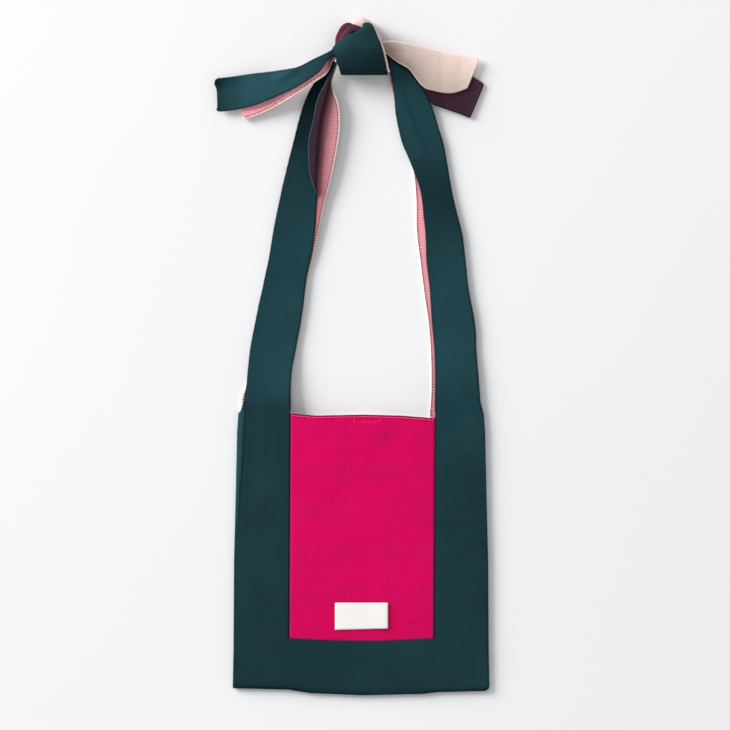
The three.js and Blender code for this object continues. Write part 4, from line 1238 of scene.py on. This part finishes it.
# Each tail: its rows, its cloth, its slot, its painted light and shade along it, its look, the widths
# of its selvedges and the radius of its corners
TAILS = {
    "left_tail_lower": (
        LEFT_TAIL_LOWER, BACK, "knit_pink",
        [(0, 0.05), (0.12, 0.16), (0.2, 0.7), (0.3, 1.05), (0.6, 1.1), (0.75, 1.1), (1, 1.12)],
        left_lower_look, ROLLED, 1.2),
    "left_tail_upper": (
        LEFT_TAIL_UPPER, FRONT, "knit_teal",
        [(0, 1), (0.2, 1.5), (0.5, 2.4), (0.75, 2.0), (0.9, 1.6), (1, 1)],
        left_upper_look, ROLLED, 3.2),
    "right_tail_lower": (
        RIGHT_TAIL_LOWER, FRONT_TURNED, "knit_plum", [(0, 0.6), (0.6, 1.05), (1, 1.55)],
        right_lower_look, (0.4, 1.0), 2.5),
    "right_tail_upper": (
        RIGHT_TAIL_UPPER, BACK_TURNED, "knit_beige",
        [(0, 0.45), (0.25, 0.76), (0.4, 0.95), (0.6, 1.08), (1, 1.16)],
        right_upper_look, ROLLED, 2.5),
}


class KNOTBAG_OT_tails(bpy.types.Operator):
    """Makes the four tail layers that hang free of the knot."""

    bl_idname = "knot_bag.tails"
    bl_label = "Tails"

    def execute(self, context):
        for node, (rows, cloth, slot, tones, look, selvedges, radius) in TAILS.items():
            on_left, is_upper = "left" in node, "upper" in node
            level = TAIL_UPPER_LEVEL if is_upper else TAIL_LOWER_LEVEL
            points = tail_grid(rows, level, LEFT_FALL_ROWS if on_left else RIGHT_FALL_ROWS)
            shades = look(points, read(tones, np.linspace(0, 1, len(points)))[:, None])
            points[..., 2] += 0.5 * ripple(points[..., 0], points[..., 1], 30, level)
            points = round_corners(points, radius)
            tail = ribbon(
                node + "_knit", points, cloth, tones=shades, edges=selvedges,
                edge_light=0.8 if cloth in (BACK, BACK_TURNED) else 0)
            both = "left_tail" if on_left else "right_tail"
            bodies = (both, both + "_top") if is_upper else ("handle", both)
            side = -1 if on_left else 1
            span = {"start": (side * TAIL_BLEND[0], 0.49, 0), "end": (side * TAIL_BLEND[1], 0.49, 0)}
            dress(tail, slot, bodies, [node], **span)
            sewn = []
            if node == "left_tail_lower":
                places = edge_places(points, -1, 2.5, 1.15, stop=2.5)
                sewn = [beads(node + "_stitches", places, 0.92, 0.75, "thread_plum")]
                dress(sewn[0], "sewing_thread", bodies, **span)
        return {"FINISHED"}


def wrap_grid(grow_left, grow_right, under):
    """The middle points of the knot's wrap, grown at its sides and sunk under its face."""
    y, z, left, right, drop_left, drop_right = smooth(KNOT_WRAP, 200).T[..., None]
    shares = edge_shares(26)[None, :]
    x = (left - grow_left) + (right + grow_right - left + grow_left) * shares
    sink = drop_left * (1 - shares) ** 3 + drop_right * shares**3
    points = np.stack([x, y + 0 * x, z - sink], axis=2)
    return points - normals_of(points) * under


def loop_grid(path, section):
    """The middle points of a loop: a section swept along the outline of the knot's top."""
    outline = smooth(path, 110)
    inward = np.array(LOOP_CENTRE) - outline
    inward /= np.linalg.norm(inward, axis=1, keepdims=True)
    profile = smooth(section, 15)
    plan = outline[:, None, :] - inward[:, None, :] * profile[None, :, :1]
    z = np.repeat(profile[None, :, 1], len(outline), axis=0)
    return np.concatenate([plan, z[..., None]], axis=2)


def strand_grid(narrowed, most_right, level):
    """The middle points of a strand inside the knot, in soft waves across."""
    y, left, right = smooth(KNOT_BAND, 60).T[..., None]
    x = (left + (np.minimum(right, most_right) - left) * np.linspace(0, 1, 41)[None, :]) * narrowed
    return np.stack([x, y + 0 * x, level + 1.2 * np.sin(x / 3.2)], axis=2)


def wrap_painted_light(points):
    """Painted light: lighter towards the wrap's top and left, with a painted highlight along its upper left
    edge.
    """
    x, y, _ = np.moveaxis(points, 2, 0)
    shades = 0.74 + 0.56 * eased(y + 0.3 * (y - 490), 486, 520) - 0.12 * eased(x, -8, 12)
    shades = shades + 0.35 * eased(-x, 6, 24) * eased(y, 484, 500)
    return shades + 0.6 * bump(lengths_of(points)[0], 1.6) * eased(y, 499, 504)


class KNOTBAG_OT_knot(bpy.types.Operator):
    """Makes the knot: its wrap and lining, the loops behind them and the strands inside."""

    bl_idname = "knot_bag.knot"
    bl_label = "Knot"

    def execute(self, context):
        wrap = wrap_grid(0, 0, 0)
        wrap[..., 2] += 0.4 * ripple(wrap[..., 0], wrap[..., 1], 16, 5.5)
        lining = wrap_grid(LINING_TUCK, LINING_SHOW, LINING_UNDER)
        plum = loop_grid(PLUM_LOOP, PLUM_LOOP_SECTION)
        # painted light on the plum loop, falling to painted shade in the crease beside the wrap
        plum_tones = 1.7 - 1.65 * eased(np.linspace(0, 1, plum.shape[1]), 0.62, 0.85)
        # each piece's tones are painted light and shade: the lining painted lighter, the top loop painted
        # darker
        for name, nodes, points, cloth, slot, tones, edges in (
            ("knot_wrap_knit", ["knot_wrap"], wrap, FRONT, "knit_teal", wrap_painted_light(wrap), ROLLED),
            ("knot_lining_knit", ["knot_wrap_lining"], lining, BACK, "knit_pink", 1.3, (0.6, 1.2)),
            ("knot_top_loop_knit", ["knot_top_loop"], loop_grid(TOP_LOOP, TOP_LOOP_SECTION),
             BACK_TURNED, "knit_beige", 0.88, ROLLED),
            ("knot_left_loop_knit", ["knot_left_loop"], plum, FRONT_TURNED, "knit_plum", plum_tones, (0, 0)),
            ("knot_left_loop_backing", [], loop_grid(LEFT_LOOP, LEFT_LOOP_SECTION), PINK_IN_PAINTED_SHADE, "knit_pink",
             1.0, ROLLED),
            ("knot_lower_strand_knit", ["knot_lower_strand"], strand_grid(1, 11, 9), FRONT, "knit_teal",
             1.0, ROLLED),
            ("knot_upper_strand_knit", ["knot_upper_strand"], strand_grid(0.8, 29, 17), BACK, "knit_pink",
             1.0, ROLLED),
        ):
            piece = ribbon(name, points, cloth, tones=tones, edges=edges)
            dress(piece, slot, ["handle"], nodes)
            sewn = []
            if points is lining:
                places = edge_places(points, 1, 1.5, 1.25, start=14, stop=30)
                sewn = [beads("knot_lining_stitches", places, 0.5, 0.75, "thread_plum")]
                dress(sewn[0], "sewing_thread", ["handle"])
        return {"FINISHED"}


PIECES = (
    KNOTBAG_OT_stage,
    KNOTBAG_OT_back,
    KNOTBAG_OT_front,
    KNOTBAG_OT_seams,
    KNOTBAG_OT_label,
    KNOTBAG_OT_tag,
    KNOTBAG_OT_straps,
    KNOTBAG_OT_knot,
    KNOTBAG_OT_tails,
)


class KNOTBAG_PT_pieces(bpy.types.Panel):
    """Lists the bag's pieces, its sizes and its colours."""

    bl_idname = "KNOTBAG_PT_pieces"
    bl_label = "Knot Bag"
    bl_space_type = "VIEW_3D"
    bl_region_type = "UI"
    bl_category = "Knot Bag"

    def draw(self, context):
        for group in (context.scene.knit_sizes, context.scene.knit_colours):
            for name in group.bl_rna.properties.keys():
                if name not in ("rna_type", "name"):
                    self.layout.prop(group, name)
        for piece in PIECES:
            self.layout.operator(piece.bl_idname)


CLASSES = (KnitColours, KnitSizes, *PIECES, KNOTBAG_PT_pieces)


def register():
    for cls in CLASSES:
        bpy.utils.register_class(cls)
    bpy.types.Scene.knit_colours = bpy.props.PointerProperty(type=KnitColours)
    bpy.types.Scene.knit_sizes = bpy.props.PointerProperty(type=KnitSizes)


def unregister():
    del bpy.types.Scene.knit_sizes
    del bpy.types.Scene.knit_colours
    for cls in reversed(CLASSES):
        bpy.utils.unregister_class(cls)


def main():
    register()
    for piece in PIECES:
        group, action = piece.bl_idname.split(".")
        getattr(getattr(bpy.ops, group), action)()


if __name__ == "__main__":
    main()
